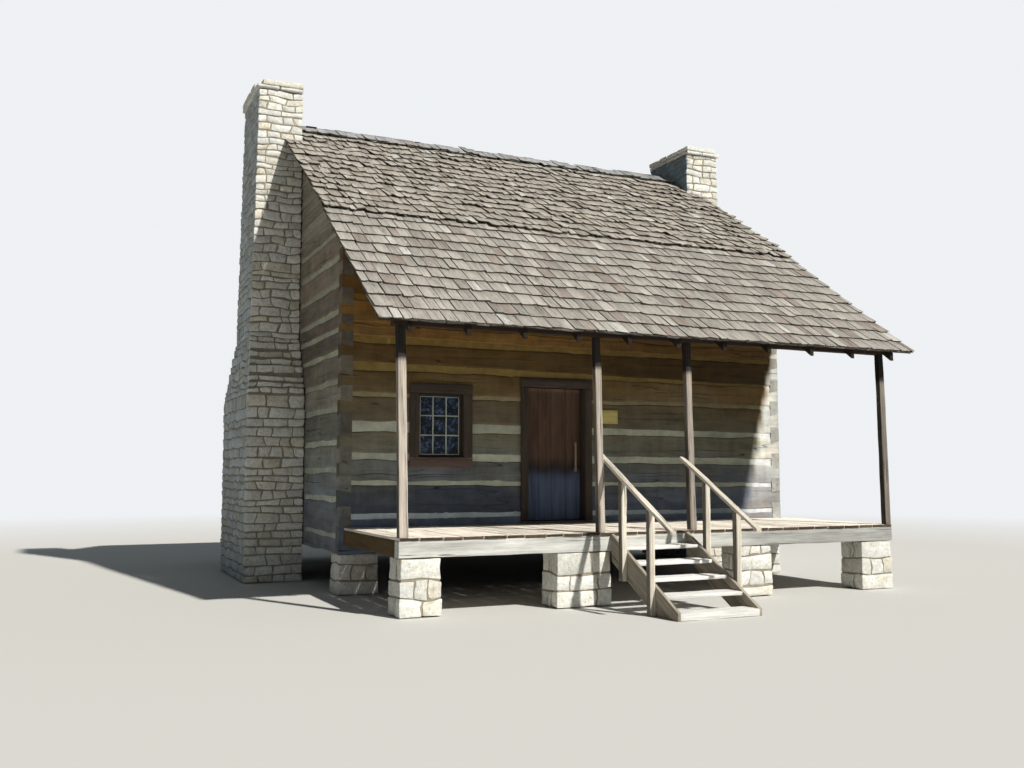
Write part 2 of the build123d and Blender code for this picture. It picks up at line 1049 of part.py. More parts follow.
def build_handrails():
    left_x = stringer_left - rail_post_width
    right_x = stringer_right + stringer_thickness
    posts = []
    for front in rail_post_fronts:
        posts.append(rail_post(left_x, front))
        posts.append(rail_post(right_x, front))
    save("step_rail_posts", posts)
    save("step_handrails", [handrail(x, reach) for x, reach in zip(rail_places, rail_reaches)])


def build_plaque():
    z = floor_height + plaque_bottom
    save("wall_plaque", [box(
        plaque_left,
        plaque_left + plaque_width,
        porch_depth - plaque_thickness,
        porch_depth,
        z,
        z + plaque_height,
    )])


os.makedirs("parts", exist_ok=True)
build_piers()
build_house_floor()
build_porch_floor()
build_front_wall()
build_back_wall()
build_side_wall("left", left_place, 0)
build_side_wall("right", right_place, 1)
build_side_chinking()
build_gables()
build_porch_frame()
build_porch_roof()
build_main_roof()
build_chimneys()
build_door_frame()
build_door_leaf()
build_door_hinges()
build_window()
build_steps()
build_handrails()
build_plaque()
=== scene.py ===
import math

import bmesh
import bpy
import numpy as np
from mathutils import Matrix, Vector


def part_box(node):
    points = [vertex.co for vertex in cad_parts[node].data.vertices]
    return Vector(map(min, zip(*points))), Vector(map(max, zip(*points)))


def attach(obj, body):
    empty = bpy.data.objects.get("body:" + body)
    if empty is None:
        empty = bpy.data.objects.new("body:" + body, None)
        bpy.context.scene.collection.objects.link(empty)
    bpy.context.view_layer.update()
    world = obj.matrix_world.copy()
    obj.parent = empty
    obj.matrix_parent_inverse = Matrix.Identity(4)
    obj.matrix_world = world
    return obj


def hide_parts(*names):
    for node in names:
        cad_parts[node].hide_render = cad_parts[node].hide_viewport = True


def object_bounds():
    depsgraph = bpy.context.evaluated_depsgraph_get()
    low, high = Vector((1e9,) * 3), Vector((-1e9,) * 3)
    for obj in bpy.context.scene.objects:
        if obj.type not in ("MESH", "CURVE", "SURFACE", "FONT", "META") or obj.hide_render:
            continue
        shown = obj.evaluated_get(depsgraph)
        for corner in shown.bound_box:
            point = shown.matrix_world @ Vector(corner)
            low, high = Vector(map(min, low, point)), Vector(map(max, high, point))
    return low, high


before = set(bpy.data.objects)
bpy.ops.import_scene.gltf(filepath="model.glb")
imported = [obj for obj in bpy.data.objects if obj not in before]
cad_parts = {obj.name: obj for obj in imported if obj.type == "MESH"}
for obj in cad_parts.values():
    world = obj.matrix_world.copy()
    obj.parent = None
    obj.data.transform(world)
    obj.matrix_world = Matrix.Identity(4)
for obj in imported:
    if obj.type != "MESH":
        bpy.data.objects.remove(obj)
cad_low, cad_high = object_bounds()

# A hewn-log cabin with a porch. Lengths are metres: X along the front, Y into the house, Z up.


def span(node):
    """Lowest and highest corner of a CAD node, as arrays."""
    low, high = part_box(node)
    return np.array(low), np.array(high)


def colour(red, green, blue):
    """Surface colour from 0 to 255 screen values."""
    return np.array([((v / 255 + 0.055) / 1.055) ** 2.4 for v in (red, green, blue)])


# Weathered colours; some carry painted light and painted shade, as noted
# The blue at the foot and the warm brown at the top of the front logs are painted sky light and
# reflected light
log_foot_skylit_blue = colour(114, 125, 144)
log_slate = colour(125, 130, 130)
log_olive = colour(131, 130, 112)
log_grey = colour(126, 118, 98)
log_tan = colour(132, 111, 75)
log_top_reflected_brown = colour(130, 98, 54)
# Painted sunlight with sun bleach on the front wall's right end
log_bleached_sunlit = colour(204, 207, 203)
log_sunlit_cool = colour(142, 143, 145)
log_end = colour(138, 130, 116)
# Chinking bluish at the foot and tan to brown higher up: painted sky light and reflected light
clay_foot_skylit_blue = colour(222, 238, 242)
clay_low = colour(201, 206, 188)
clay_middle_reflected_tan = colour(150, 128, 76)
clay_top_reflected_brown = colour(136, 102, 48)
# Chinking with painted sunlight and sun bleach at the front wall's right end
clay_bleached_sunlit = colour(226, 226, 228)
shake_old = colour(158, 152, 142)
shake_new = colour(153, 148, 140)
shake_brown = colour(126, 112, 102)
shake_light = colour(188, 186, 180)
comb_grey = colour(148, 147, 146)
lath_brown = colour(50, 40, 34)
# Rafters and porch plate darkened with painted shade from under the eaves
rafter_painted_shade_brown = colour(40, 32, 26)
plate_painted_shade_brown = colour(52, 40, 30)
timber_pale = colour(176, 166, 154)
rail_pale = colour(201, 193, 178)
post_shade_dark = colour(62, 56, 52)
timber_grey = colour(150, 142, 128)
timber_brown = colour(88, 72, 46)
floor_tan = colour(242, 232, 217)
floor_end = colour(78, 66, 54)
tread_pale = colour(215, 213, 208)
beam_white = colour(190, 190, 184)
stone_cream = colour(234, 233, 225)
stone_tan = colour(206, 193, 164)
stone_grey = colour(198, 202, 200)
lichen_grey = colour(132, 130, 120)
mortar_grey = colour(150, 142, 124)
door_red = colour(91, 72, 61)
# Painted sky reflection at the door's foot, and a painted shadow line over it
door_foot_sky_reflection = colour(84, 95, 120)
door_shadow = colour(40, 36, 34)
door_worn = colour(168, 138, 110)
pull_tan = colour(150, 138, 120)
casing_red = colour(75, 66, 59)
sill_red = colour(98, 84, 77)
bead_pale = colour(172, 182, 168)
iron_dark = colour(58, 48, 42)
rust_brown = colour(104, 66, 42)
pane_dark = colour(22, 28, 40)
# Painted reflection on the window panes
reflection_blue = colour(104, 132, 176)
board_tan = colour(190, 178, 112)
inner_brown = colour(120, 98, 72)

# Roof slopes, as in the CAD
main_pitch = math.radians(33.4)
porch_pitch = math.radians(35.7)
skin = 0.070
lip_length = 0.22

# Places read from the frame
front_roof_low, front_roof_high = span("front_roof")
back_roof_high = span("back_roof")[1]
porch_roof_low = span("porch_roof")[0]
porch_floor_top = span("porch_floor")[1][2]
left_wall_low, left_wall_high = span("left_wall")
wall_front = left_wall_low[1]
wall_back = span("back_wall")[1][1]
wall_left = left_wall_low[0]
wall_right = span("right_wall")[1][0]
wall_depth = left_wall_high[0] - wall_left
ridge_y = (wall_front + wall_back) / 2
ridge_z = front_roof_high[2]
roof_left = front_roof_low[0]
roof_right = front_roof_high[0]

# Chimneys: a hearth as wide and deep as the CAD's, sloping shoulders, and a shaft under the cap
hearth_low, hearth_high = span("right_chimney")
cap_low, cap_high = span("chimney_caps")
cap_overhang = 0.035
hearth_half = (hearth_high[1] - hearth_low[1]) / 2
hearth_depth = hearth_high[0] - wall_right
hearth_height = 2.75
shoulder_top = 3.65
shaft_half = (cap_high[1] - cap_low[1]) / 2 - cap_overhang
shaft_base_depth = 0.76
shaft_top_depth = cap_high[0] - wall_right - cap_overhang


# Irregularity

def swell(points, size, seed):
    """Smooth random value, mostly between -1 and 1, that changes over about the given size."""
    draw = np.random.default_rng(seed)
    scaled = np.asarray(points) / np.asarray(size)
    total = np.zeros(len(scaled))
    for _ in range(6):
        direction = draw.normal(size=3)
        direction *= 2 * math.pi * draw.uniform(0.45, 1.3) / np.linalg.norm(direction)
        total += np.sin(scaled @ direction + draw.uniform(0, 2 * math.pi))
    return total / 3.0


def ramp(values, start, width):
    """0 up to a start, then rising to 1 over a width."""
    return np.clip((values - start) / width, 0, 1)


def blend(first, second, share):
    """Mixture of two colours, with a share of the second for each point."""
    share = np.clip(np.asarray(share, float), 0, 1)[..., None]
    return first * (1 - share) + second * share


def node_seed(node):
    """Seed made from a node's name."""
    return sum(map(ord, node))


def side_by_side(draw, start, end, widths, least, slack=0.02):
    """Near and far side of each thing in a row of random widths. One that would leave less than
    the least width at the end of the row takes that too."""
    while start < end - slack:
        far = start + draw.uniform(*widths)
        if end - far < least:
            far = end
        yield start, far
        start = far


def link(made):
    """Puts an object into the scene."""
    bpy.context.scene.collection.objects.link(made)


# Meshes

class Pile:
    """Solids gathered into one mesh. Each vertex carries its grain coordinates and its tint."""

    def __init__(self, seed):
        self.draw = np.random.default_rng(seed)
        self.points = []
        self.faces = []
        self.grain = []
        self.tint = []
        self.count = 0

    def seed(self):
        """Random seed for one solid."""
        return int(self.draw.integers(1e6))

    def add(self, points, faces, grain, tint, shades=None, moved=True):
        """Adds a solid, its grain moved at random so that no two match, its tint shaded at random."""
        if moved:
            grain = grain + self.draw.uniform(-50, 50, 3)
        if shades:
            tint = tint * self.draw.uniform(*shades)
        self.points.append(points)
        self.faces.extend([[i + self.count for i in face] for face in faces])
        self.grain.append(grain)
        self.tint.append(np.broadcast_to(tint, points.shape))
        self.count += len(points)

    def piece(self, name, surface, slot, nodes=(), body="cabin", sharp=38):
        """The finished object, riding on a body and standing for CAD nodes."""
        points = np.concatenate(self.points)
        points = np.clip(points, np.array(cad_low), np.array(cad_high))
        mesh = bpy.data.meshes.new(name)
        mesh.from_pydata(points, [], self.faces)
        mesh.validate()
        grain = mesh.attributes.new("grain", "FLOAT_VECTOR", "POINT")
        grain.data.foreach_set("vector", np.concatenate(self.grain).astype(np.float32).ravel())
        tint = mesh.attributes.new("tint", "FLOAT_COLOR", "POINT")
        rgba = np.ones((len(points), 4), np.float32)
        rgba[:, :3] = np.concatenate(self.tint)
        tint.data.foreach_set("color", rgba.ravel())
        mesh.materials.append(surface)
        mesh.shade_smooth()
        mesh.set_sharp_from_angle(angle=math.radians(sharp))
        made = bpy.data.objects.new(name, mesh)
        link(made)
        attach(made, body)
        if nodes:
            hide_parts(*nodes)


lattices = {}


def lattice(nx, ny, nz):
    """Points between 0 and 1 and quads of a closed block divided nx, ny and nz times."""
    if (nx, ny, nz) in lattices:
        return lattices[nx, ny, nz]
    numbers = {}

    def at(i, j, k):
        return numbers.setdefault((i, j, k), len(numbers))

    quads = []
    for i in range(nx):
        for j in range(ny):
            quads.append([at(i, j, 0), at(i, j + 1, 0), at(i + 1, j + 1, 0), at(i + 1, j, 0)])
            quads.append([at(i, j, nz), at(i + 1, j, nz), at(i + 1, j + 1, nz), at(i, j + 1, nz)])
        for k in range(nz):
            quads.append([at(i, 0, k), at(i + 1, 0, k), at(i + 1, 0, k + 1), at(i, 0, k + 1)])
            quads.append([at(i, ny, k), at(i, ny, k + 1), at(i + 1, ny, k + 1), at(i + 1, ny, k)])
    for j in range(ny):
        for k in range(nz):
            quads.append([at(0, j, k), at(0, j, k + 1), at(0, j + 1, k + 1), at(0, j + 1, k)])
            quads.append([at(nx, j, k), at(nx, j + 1, k), at(nx, j + 1, k + 1), at(nx, j, k + 1)])
    points = np.array(list(numbers), float) / (nx, ny, nz)
    lattices[nx, ny, nz] = (points, quads)
    return points, quads


# Shares of its radius by which rounding draws in a block's points: none inside the block or on a
# face, more on an edge and most at a corner
insets = np.array([0, 0, 0.29, 0.42])


def worn_block(low, high, divisions, edge, rounding, rough, seed, rough_size=0.12):
    """Points and faces of a block between two corners, with worn edges and uneven faces."""
    points, quads = lattice(*divisions)
    low = np.asarray(low, float)
    size = np.asarray(high, float) - low
    placed = np.empty_like(points)
    for axis, count in enumerate(divisions):
        even = np.linspace(0, 1, count + 1)
        stops = even.copy()
        if count > 2:
            ring = min(edge / size[axis], 0.3)
            stops[1:-1] = np.linspace(ring, 1 - ring, count - 1)
        placed[:, axis] = np.interp(points[:, axis], even, stops) * size[axis]
    outward = (points > 0.999).astype(int) - (points < 0.001)
    inset = insets[np.abs(outward).sum(axis=1)] * rounding
    placed += low - outward * inset[:, None]
    dip = rough * np.minimum(np.abs(swell(placed, rough_size, seed)), 1.1)
    return placed - outward * dip[:, None], quads


# A board has at most this many cuts a side; sides thinner than this need no middle cut
most_cuts = 60
thin_side = 0.03


def add_board(pile, low, high, axis, tint, step, across, edge, rough):
    """Weathered board with its grain along an axis."""
    divisions = []
    for side, length in enumerate(np.subtract(high, low)):
        count = int(np.clip(round(length / (step if side == axis else across)), 1, most_cuts))
        divisions.append(count if count > 2 or length < thin_side else 3)
    rough_size = np.full(3, 0.08)
    rough_size[axis] = 0.5
    points, faces = worn_block(low, high, divisions, edge, edge, rough, pile.seed(), rough_size)
    pile.add(points, faces, np.roll(points, -axis, axis=1), tint)


# Copies of CAD nodes with weathered faces

def connected(start, seen):
    """Vertices that edges join to a first one."""
    seen.add(start.index)
    waiting = [start]
    group = []
    while waiting:
        vertex = waiting.pop()
        group.append(vertex)
        for edge in vertex.link_edges:
            other = edge.other_vert(vertex)
            if other.index not in seen:
                seen.add(other.index)
                waiting.append(other)
    return group


def loose_parts(node):
    """Each solid of a CAD node as its own mesh, its flat faces made whole."""
    whole = bmesh.new()
    whole.from_mesh(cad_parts[node].data)
    bmesh.ops.remove_doubles(whole, verts=whole.verts[:], dist=1e-5)
    flat = math.radians(0.4)
    bmesh.ops.dissolve_limit(whole, angle_limit=flat, verts=whole.verts[:], edges=whole.edges[:])
    whole.verts.index_update()
    whole.faces.index_update()
    seen = set()
    parts = []
    for start in whole.verts:
        if start.index in seen:
            continue
        group = connected(start, seen)
        part = bmesh.new()
        made = {vertex.index: part.verts.new(vertex.co) for vertex in group}
        faces = {face.index: face for vertex in group for face in vertex.link_faces}
        for index in sorted(faces):
            part.faces.new([made[vertex.index] for vertex in faces[index].verts])
        part.normal_update()
        parts.append(part)
    whole.free()
    return parts


def grain_frame(part):
    """Directions along a part's length and across it."""
    longest = max(part.edges, key=lambda edge: edge.calc_length())
    along = (longest.verts[1].co - longest.verts[0].co).normalized()
    if max(along, key=abs) < 0:
        along = -along
    flats = [face for face in part.faces if abs(face.normal.dot(along)) < 0.2]
    side = max(flats, key=lambda face: face.calc_area()).normal.copy()
    side = (side - along * side.dot(along)).normalized()
    return along, side, along.cross(side)


def cut_at(part, direction, places):
    """Cuts a part's faces by planes square to a direction."""
    for place in places:
        everything = part.verts[:] + part.edges[:] + part.faces[:]
        bmesh.ops.bisect_plane(
            part, geom=everything, dist=1e-6, plane_co=direction * place, plane_no=direction
        )


def even_places(part, direction, step, ring=0.0):
    """Evenly spaced cuts through a part, with one more near each end where a ring is given."""
    heights = [vertex.co.dot(direction) for vertex in part.verts]
    low, high = min(heights), max(heights)
    count = max(1, round((high - low) / step))
    places = [low + (high - low) * i / count for i in range(1, count)]
    if ring and high - low > 4 * ring:
        places = [p for p in places if low + 1.5 * ring < p < high - 1.5 * ring]
        places += [low + ring, high - ring]
    return places


def part_points(part):
    """Places of a part's vertices."""
    return np.array([vertex.co for vertex in part.verts], float)


def finished(part):
    """A part's points and faces; the part itself is freed."""
    part.verts.index_update()
    points = part_points(part)
    faces = [[vertex.index for vertex in face.verts] for face in part.faces]
    part.free()
    return points, faces


wear_size = 0.09


def weathered(node, tint, step=0.08, across=0.035, bevel=0.005, rough=0.002, vary=0.12):
    """Copy of a CAD node whose solids have softened edges, uneven faces and their own tint. Step and
    across are the spaces between cuts along and across the grain, rough is how uneven faces are."""
    pile = Pile(node_seed(node))
    for part in loose_parts(node):
        ways = grain_frame(part)
        if bevel:
            sharp = [edge for edge in part.edges if edge.is_manifold and edge.calc_face_angle() > 0.5]
            bmesh.ops.bevel(part, geom=sharp, offset=bevel, segments=2, profile=0.5, affect="EDGES")
        for way, spacing in zip(ways, (step, across, across)):
            cut_at(part, way, even_places(part, way, spacing))
        points, faces = finished(part)
        base = np.array(ways)
        grain = points @ base.T
        stretched = np.column_stack([grain[:, 0] / 5, grain[:, 1], grain[:, 2]])
        seed = pile.seed()
        for axis in (1, 2):
            points += base[axis] * (rough * swell(stretched, wear_size, seed + axis))[:, None]
        shade = pile.draw.uniform(1 - vary, 1 + vary)
        pile.add(points, faces, grain, tint * shade)
    return pile


def worn(node, tint, surface, slot, *cuts, ending="_worn", body="cabin", vary=0.12):
    """Piece that is a weathered copy of a whole node. Cuts are its step, across, bevel and rough."""
    weathered(node, tint, *cuts, vary=vary).piece(node + ending, surface, slot, [node], body)


# Logs and chinking

# Painted sunlight, with sun bleach, on the front wall's right end, which the porch roof does not
# shade: where this starts at the floor, how far it leans away with height, and how soft its edge is
sun_start = wall_right - 0.72
sun_lean = 0.23
sun_edge = 0.06

# Colours of the sheltered front logs at heights over the ground: the wood's own colour with painted
# light, blue sky light in shade at the foot and warm reflected light under the roof
log_heights = (1.25, 1.6, 2.0, 2.45, 2.8, 3.7)
log_colours_with_painted_light = np.array([log_foot_skylit_blue, log_slate, log_olive, log_grey, log_tan, log_top_reflected_brown])

# Top of each front log, and its tone left and right of the door: each log's own tone, with painted
# shade making those right of the door darker
log_tones_and_painted_shade = (
    (1.02, 0.95, 0.95),
    (1.45, 0.45, 0.60),
    (1.79, 0.72, 0.52),
    (2.18, 0.78, 0.60),
    (2.63, 0.68, 0.52),
    (2.97, 0.62, 0.66),
    (3.36, 0.50, 0.25),
    (3.60, 1.05, 0.50),
    (3.98, 1.05, 0.50),
    (9.99, 0.66, 0.60),
)

upward = Vector((0, 0, 1))
cracks_per_log = 2
crack_half_width = 0.005
crack_depth = 0.016
adze_depth = 0.0033
chop_depth = 0.0016
edge_wave = 0.012
notch_reach = 0.17
trowel_depth = 0.004
daub_overlap = 0.018


def bleached_and_sunlit_end(points):
    """Share of sun bleach and painted sunlight, for points that may lie at the front wall's right end.
    """
    start = sun_start + sun_lean * (points[:, 2] - porch_floor_top)
    return ramp(points[:, 0], start, sun_edge)


def log_tint(points, outward, draw):
    """Log colour with painted light: blue sky light in shade at the foot of the wall, olive grey in
    the middle, warm reflected light under the roof; painted shade right of the door and painted
    sunlight at the wall's right end.
    """
    height = points[:, 2] + 0.12 * swell(points, (1.5, 1.5, 0.5), 5)
    tint = np.column_stack([np.interp(height, log_heights, log_colours_with_painted_light[:, i]) for i in range(3)])
    shade = draw.uniform(0.66, 1.16)
    if outward.y > -0.5:
        return blend(tint, log_slate, 0.6) * shade
    left, right = next(tone[1:] for tone in log_tones_and_painted_shade if points[:, 2].max() < tone[0] + 0.03)
    # Painted shade: darker right of the door, and darker again towards the wall's right end
    tone = left + (right - left) * ramp(points[:, 0], -0.9, 2.1)
    tone = tone * (1 - 0.18 * ramp(points[:, 0], 1.7, 0.6))
    # Painted sunlight with sun bleach at the wall's right end
    bleach_and_sunlight = blend(log_sunlit_cool, log_bleached_sunlit, (height - 1.4) / 0.5) * (0.5 + 0.5 * shade)
    return blend(tint * tone[:, None], bleach_and_sunlight, 0.9 * bleached_and_sunlit_end(points))


def log_cracks(part, draw, along):
    """Cuts a log for its long drying cracks; returns height, middle and length of each."""
    heights = [vertex.co.dot(upward) for vertex in part.verts]
    reach = [vertex.co.dot(along) for vertex in part.verts]
    low, high = min(heights), max(heights)
    start, end = min(reach), max(reach)
    cracks = []
    for _ in range(cracks_per_log):
        length = draw.uniform(0.5, 1.9)
        if end - start < length + 0.3 or high - low < 0.12:
            continue
        height = draw.uniform(low + 0.22 * (high - low), high - 0.22 * (high - low))
        middle = draw.uniform(start + length / 2 + 0.05, end - length / 2 - 0.05)
        if all(abs(height - other[0]) > 0.03 for other in cracks):
            cracks.append((height, middle, length))
    for crack in cracks:
        cut_at(part, upward, [crack[0] + side * crack_half_width for side in (-1, 0, 1)])
    return cracks


def adzed(shaped, cracks, seed):
    """How deep the adze and the cracks go into a log's face, at distances along it and up it."""
    dip = adze_depth * (1 + swell(shaped, (0.34, 0.16, 1), seed))
    dip += chop_depth * (1 + swell(shaped, (0.11, 0.05, 1), seed + 1))
    for height, middle, length in cracks:
        on_crack = np.abs(shaped[:, 1] - height) < 0.0006
        fade = np.clip(1 - (2 * (shaped[:, 0] - middle) / length) ** 2, 0, 1)
        dip += np.where(on_crack, crack_depth * np.sqrt(fade), 0)
    return dip


def hewn_logs(node, outward, step=0.09, row=0.034):
    """Piece that copies a node of logs: adzed faces, wavy edges, drying cracks and dark ends."""
    outward = Vector(outward)
    along = Vector((abs(outward.y), abs(outward.x), 0))
    pile = Pile(node_seed(node) + 7)
    for part in loose_parts(node):
        cracks = log_cracks(part, pile.draw, along)
        cut_at(part, along, even_places(part, along, step, 0.006))
        cut_at(part, upward, even_places(part, upward, row))
        points, faces = finished(part)
        run, rise, depth = (points @ np.array(way) for way in (along, upward, outward))
        from_face = depth.max() - depth
        from_end = np.minimum(run - run.min(), run.max() - run)
        shaped = np.column_stack([run, rise, depth])
        seed = pile.seed()
        dip = adzed(shaped, cracks, seed) * (from_face < 0.001)
        points -= np.array(outward) * dip[:, None]
        wave = edge_wave * swell(np.column_stack([run, rise, rise * 0]), (0.75, 0.35, 1), seed + 2)
        points[:, 2] += wave * (1 - ramp(from_face, 0, 0.06)) * ramp(from_end, notch_reach, 0.2)
        tint = log_tint(points, outward, pile.draw)
        # End grain darker than the faces, and toned down too to match the painted shade of the front
        # logs
        end_tint = blend(tint * 0.55, log_end, 0.2)
        # Log ends at the wall's right end take the painted sunlight too
        end_tint = blend(end_tint, log_bleached_sunlit * 0.62, 0.8 * bleached_and_sunlit_end(points))
        tint = blend(end_tint * pile.draw.uniform(0.85, 1.1), tint, from_end / 0.01)
        pile.add(points, faces, shaped, tint)
    pile.piece(node + "_hewn", log_wood, "logs", [node])


def clay_tint(points):
    """Pale clay with painted light: bluish sky light in shade at the foot, warm reflected light under
    the roof, painted shade right of the door and painted sunlight, whitest, at the wall's right end.
    """
    height = points[:, 2]
    # Painted sky light at the foot, painted reflected light higher up
    tint = blend(clay_foot_skylit_blue, clay_low, (height - 1.1) / 0.3)
    tint = blend(tint, clay_middle_reflected_tan, (height - 2.2) / 0.6)
    tint = blend(tint, clay_top_reflected_brown, (height - 3.2) / 0.5)
    on_front = points[:, 1] < wall_front + wall_depth
    tint = blend(tint * 0.85, clay_low * 0.8, 0.75 * ~on_front)
    # Painted shade: darker right of the door, and darker again towards the wall's right end
    painted_shade_right = 0.25 * ramp(points[:, 0], -0.5, 1.2) + 0.22 * ramp(points[:, 0], 1.7, 0.6)
    tint = tint * (1 - painted_shade_right * on_front)[:, None]
    return blend(tint, clay_bleached_sunlit, 0.8 * bleached_and_sunlit_end(points) * on_front)


def spread_daub(points, along):
    """Runs the top and bottom lines of a strip of clay a little behind the logs."""
    height = points[:, 2].copy()
    column = np.unique(np.round(points @ np.array(along), 4), return_inverse=True)[1]
    top = np.full(column.max() + 1, -np.inf)
    bottom = -top
    np.maximum.at(top, column, height)
    np.minimum.at(bottom, column, height)
    points[:, 2] += np.where(height > top[column] - 0.001, daub_overlap, 0)
    points[:, 2] -= np.where(height < bottom[column] + 0.001, daub_overlap, 0)


def daubed(node):
    """Piece that copies a node of clay strips, troweled unevenly between the logs."""
    pile = Pile(node_seed(node))
    for part in loose_parts(node):
        size = np.ptp(part_points(part), axis=0)
        along = Vector((1, 0, 0)) if size[0] > size[1] else Vector((0, 1, 0))
        cut_at(part, along, even_places(part, along, 0.07))
        cut_at(part, upward, even_places(part, upward, 0.022))
        points, faces = finished(part)
        depth = points[:, 1 if along.x else 0]
        outer = np.sign(depth - (depth.max() + depth.min()) / 2)
        seed = pile.seed()
        uneven = trowel_depth * swell(points, 0.16, seed) + 0.0015 * swell(points, 0.04, seed + 1)
        depth += outer * (uneven - trowel_depth / 2)
        spread_daub(points, along)
        tint = clay_tint(points) * (1 + 0.10 * swell(points, (0.5, 0.5, 0.2), seed + 2))[:, None]
        pile.add(points, faces, points, tint, (0.88, 1.08))
    pile.piece(node + "_daub", daub, "chinking", [node])


# Materials

class Graph:
    """Node tree of a material or a world, with short ways to make and join its nodes."""

    def __init__(self, owner):
        owner.use_nodes = True
        self.owner = owner
        self.tree = owner.node_tree

    def put(self, target, value):
        """Joins an output to a socket, or sets the socket to a plain value."""
        if isinstance(value, bpy.types.NodeSocket):
            self.tree.links.new(value, target)
        else:
            target.default_value = value

    def make(self, kind, inputs, output=0, **settings):
        """One output of a new node with these inputs and settings."""
        made = self.tree.nodes.new("ShaderNode" + kind)
        for key, value in settings.items():
            setattr(made, key, value)
        for key, value in inputs.items():
            self.put(made.inputs[key], value)
        return made.outputs[output]

    def range(self, value, low, high, new_low, new_high):
        """A value moved from one range to another, and kept inside it."""
        bounds = {"From Min": low, "From Max": high, "To Min": new_low, "To Max": new_high}
        return self.make("MapRange", {"Value": value, **bounds}, "Result")

    def math(self, operation, *values):
        return self.make("Math", dict(enumerate(values)), operation=operation)

    def cover(self, share, under, over, output):
        """Shows one shader over another by a share, as the look of the whole tree."""
        mixed = self.make("MixShader", {0: share, 1: under, 2: over})
        self.put(self.tree.nodes[output].inputs["Surface"], mixed)


class Finish(Graph):
    """Material of pieces, coloured by their tint and patterned by their grain coordinates."""

    def __init__(self, name):
        super().__init__(bpy.data.materials.new(name))
        self.shader = self.tree.nodes["Principled BSDF"]
        self.grain = self.make("Attribute", {}, "Vector", attribute_name="grain")
        self.tint = self.make("Attribute", {}, "Color", attribute_name="tint")

    def noise(self, scale, detail, roughness=0.6, distortion=0.0, place=None):
        """Noise of one scale in every direction."""
        place = self.grain if place is None else place
        inputs = {"Vector": place, "Scale": scale, "Detail": detail}
        inputs.update({"Roughness": roughness, "Distortion": distortion})
        return self.make("TexNoise", inputs, "Fac")

    def streaks(self, along, across, detail, roughness=0.6, distortion=0.0):
        """Noise with its own scales along the grain and across it."""
        scale = (along, across, across)
        place = self.make("Mapping", {"Vector": self.grain, "Scale": scale}, "Vector")
        return self.noise(1.0, detail, roughness, distortion, place)

    def spread(self, noise, low, high):
        """The range in which most of a noise lies, moved to another."""
        return self.range(noise, 0.3, 0.7, low, high)

    def mix(self, share, first, second, way="MIX"):
        """Mixture of two colours, each an output or plain values."""
        inputs = {"Factor": share}
        for socket, value in ((6, first), (7, second)):
            inputs[socket] = value if isinstance(value, bpy.types.NodeSocket) else (*value, 1.0)
        return self.make("Mix", inputs, 2, data_type="RGBA", blend_type=way)

    def times(self, first, second):
        return self.mix(1.0, first, second, "MULTIPLY")

    def lit(self, light):
        """The tint made lighter or darker by a value."""
        return self.times(self.tint, self.make("CombineColor", {0: light, 1: light, 2: light}))

    def swung(self, contrast, *swings):
        """The tint made lighter and darker by noises, each as strongly as its swing says."""
        light = 1.0
        for noise, swing in swings:
            swing *= contrast
            light = self.math("ADD", light, self.spread(noise, -swing, swing))
        return self.lit(self.math("MAXIMUM", light, 0.12))

    def stained(self, base, noise, start, end, most, stain):
        """A stain over a base colour where a noise goes from its start to its end."""
        return self.mix(self.range(noise, start, end, 0.0, most), base, stain)

    def cracked(self, base, lines, width, where, dark):
        """Dark cracks in the middle of a noise's values; gives the colour and the cracks' share."""
        middle = self.math("ABSOLUTE", self.math("SUBTRACT", lines, 0.5))
        crack = self.math("MULTIPLY", self.range(middle, 0.0, width, 1.0, 0.0), where)
        return self.mix(crack, base, self.times(base, dark)), crack

    def relief(self, distance, strength, *parts):
        """Bump from a sum of values, each with its weight."""
        height = 0.0
        for value, weight in parts:
            height = self.math("MULTIPLY_ADD", value, weight, height)
        inputs = {"Distance": distance, "Strength": strength, "Height": height}
        self.put(self.shader.inputs["Normal"], self.make("Bump", inputs, "Normal"))

    def finish(self, base, roughness, specular):
        self.put(self.shader.inputs["Base Color"], base)
        self.put(self.shader.inputs["Roughness"], roughness)
        self.put(self.shader.inputs["Specular IOR Level"], specular)
        return self.owner


def wood(name, contrast, cracks, crack_width, band, fibre, bump, stretch=1.0):
    """Weathered wood with dark drying cracks, its grain along the first grain coordinate. Band and
    fibre are how fine its marks are across the grain, stretch is how long the broad ones are."""
    made = Finish(name)
    fibres = made.streaks(4.0, fibre, 3.0)
    bands = made.streaks(0.9 / stretch, band, 5.0, distortion=0.4)
    patches = made.streaks(1.6, 5.0, 5.0, 0.65)
    base = made.swung(contrast, (fibres, 0.35), (bands, 0.6), (patches, 0.45))
    lines = made.streaks(0.55 / stretch, band * 0.8, 2.0, distortion=0.15)
    where = made.range(made.streaks(0.7, 9.0, 2.0), 0.52, 0.58, 0.0, cracks)
    base, crack = made.cracked(base, lines, crack_width, where, (0.16, 0.14, 0.12))
    made.relief(bump, 0.9, (fibres, 0.35), (bands, 0.5), (crack, -1.2))
    return made.finish(base, made.spread(fibres, 0.92, 0.78), 0.2)


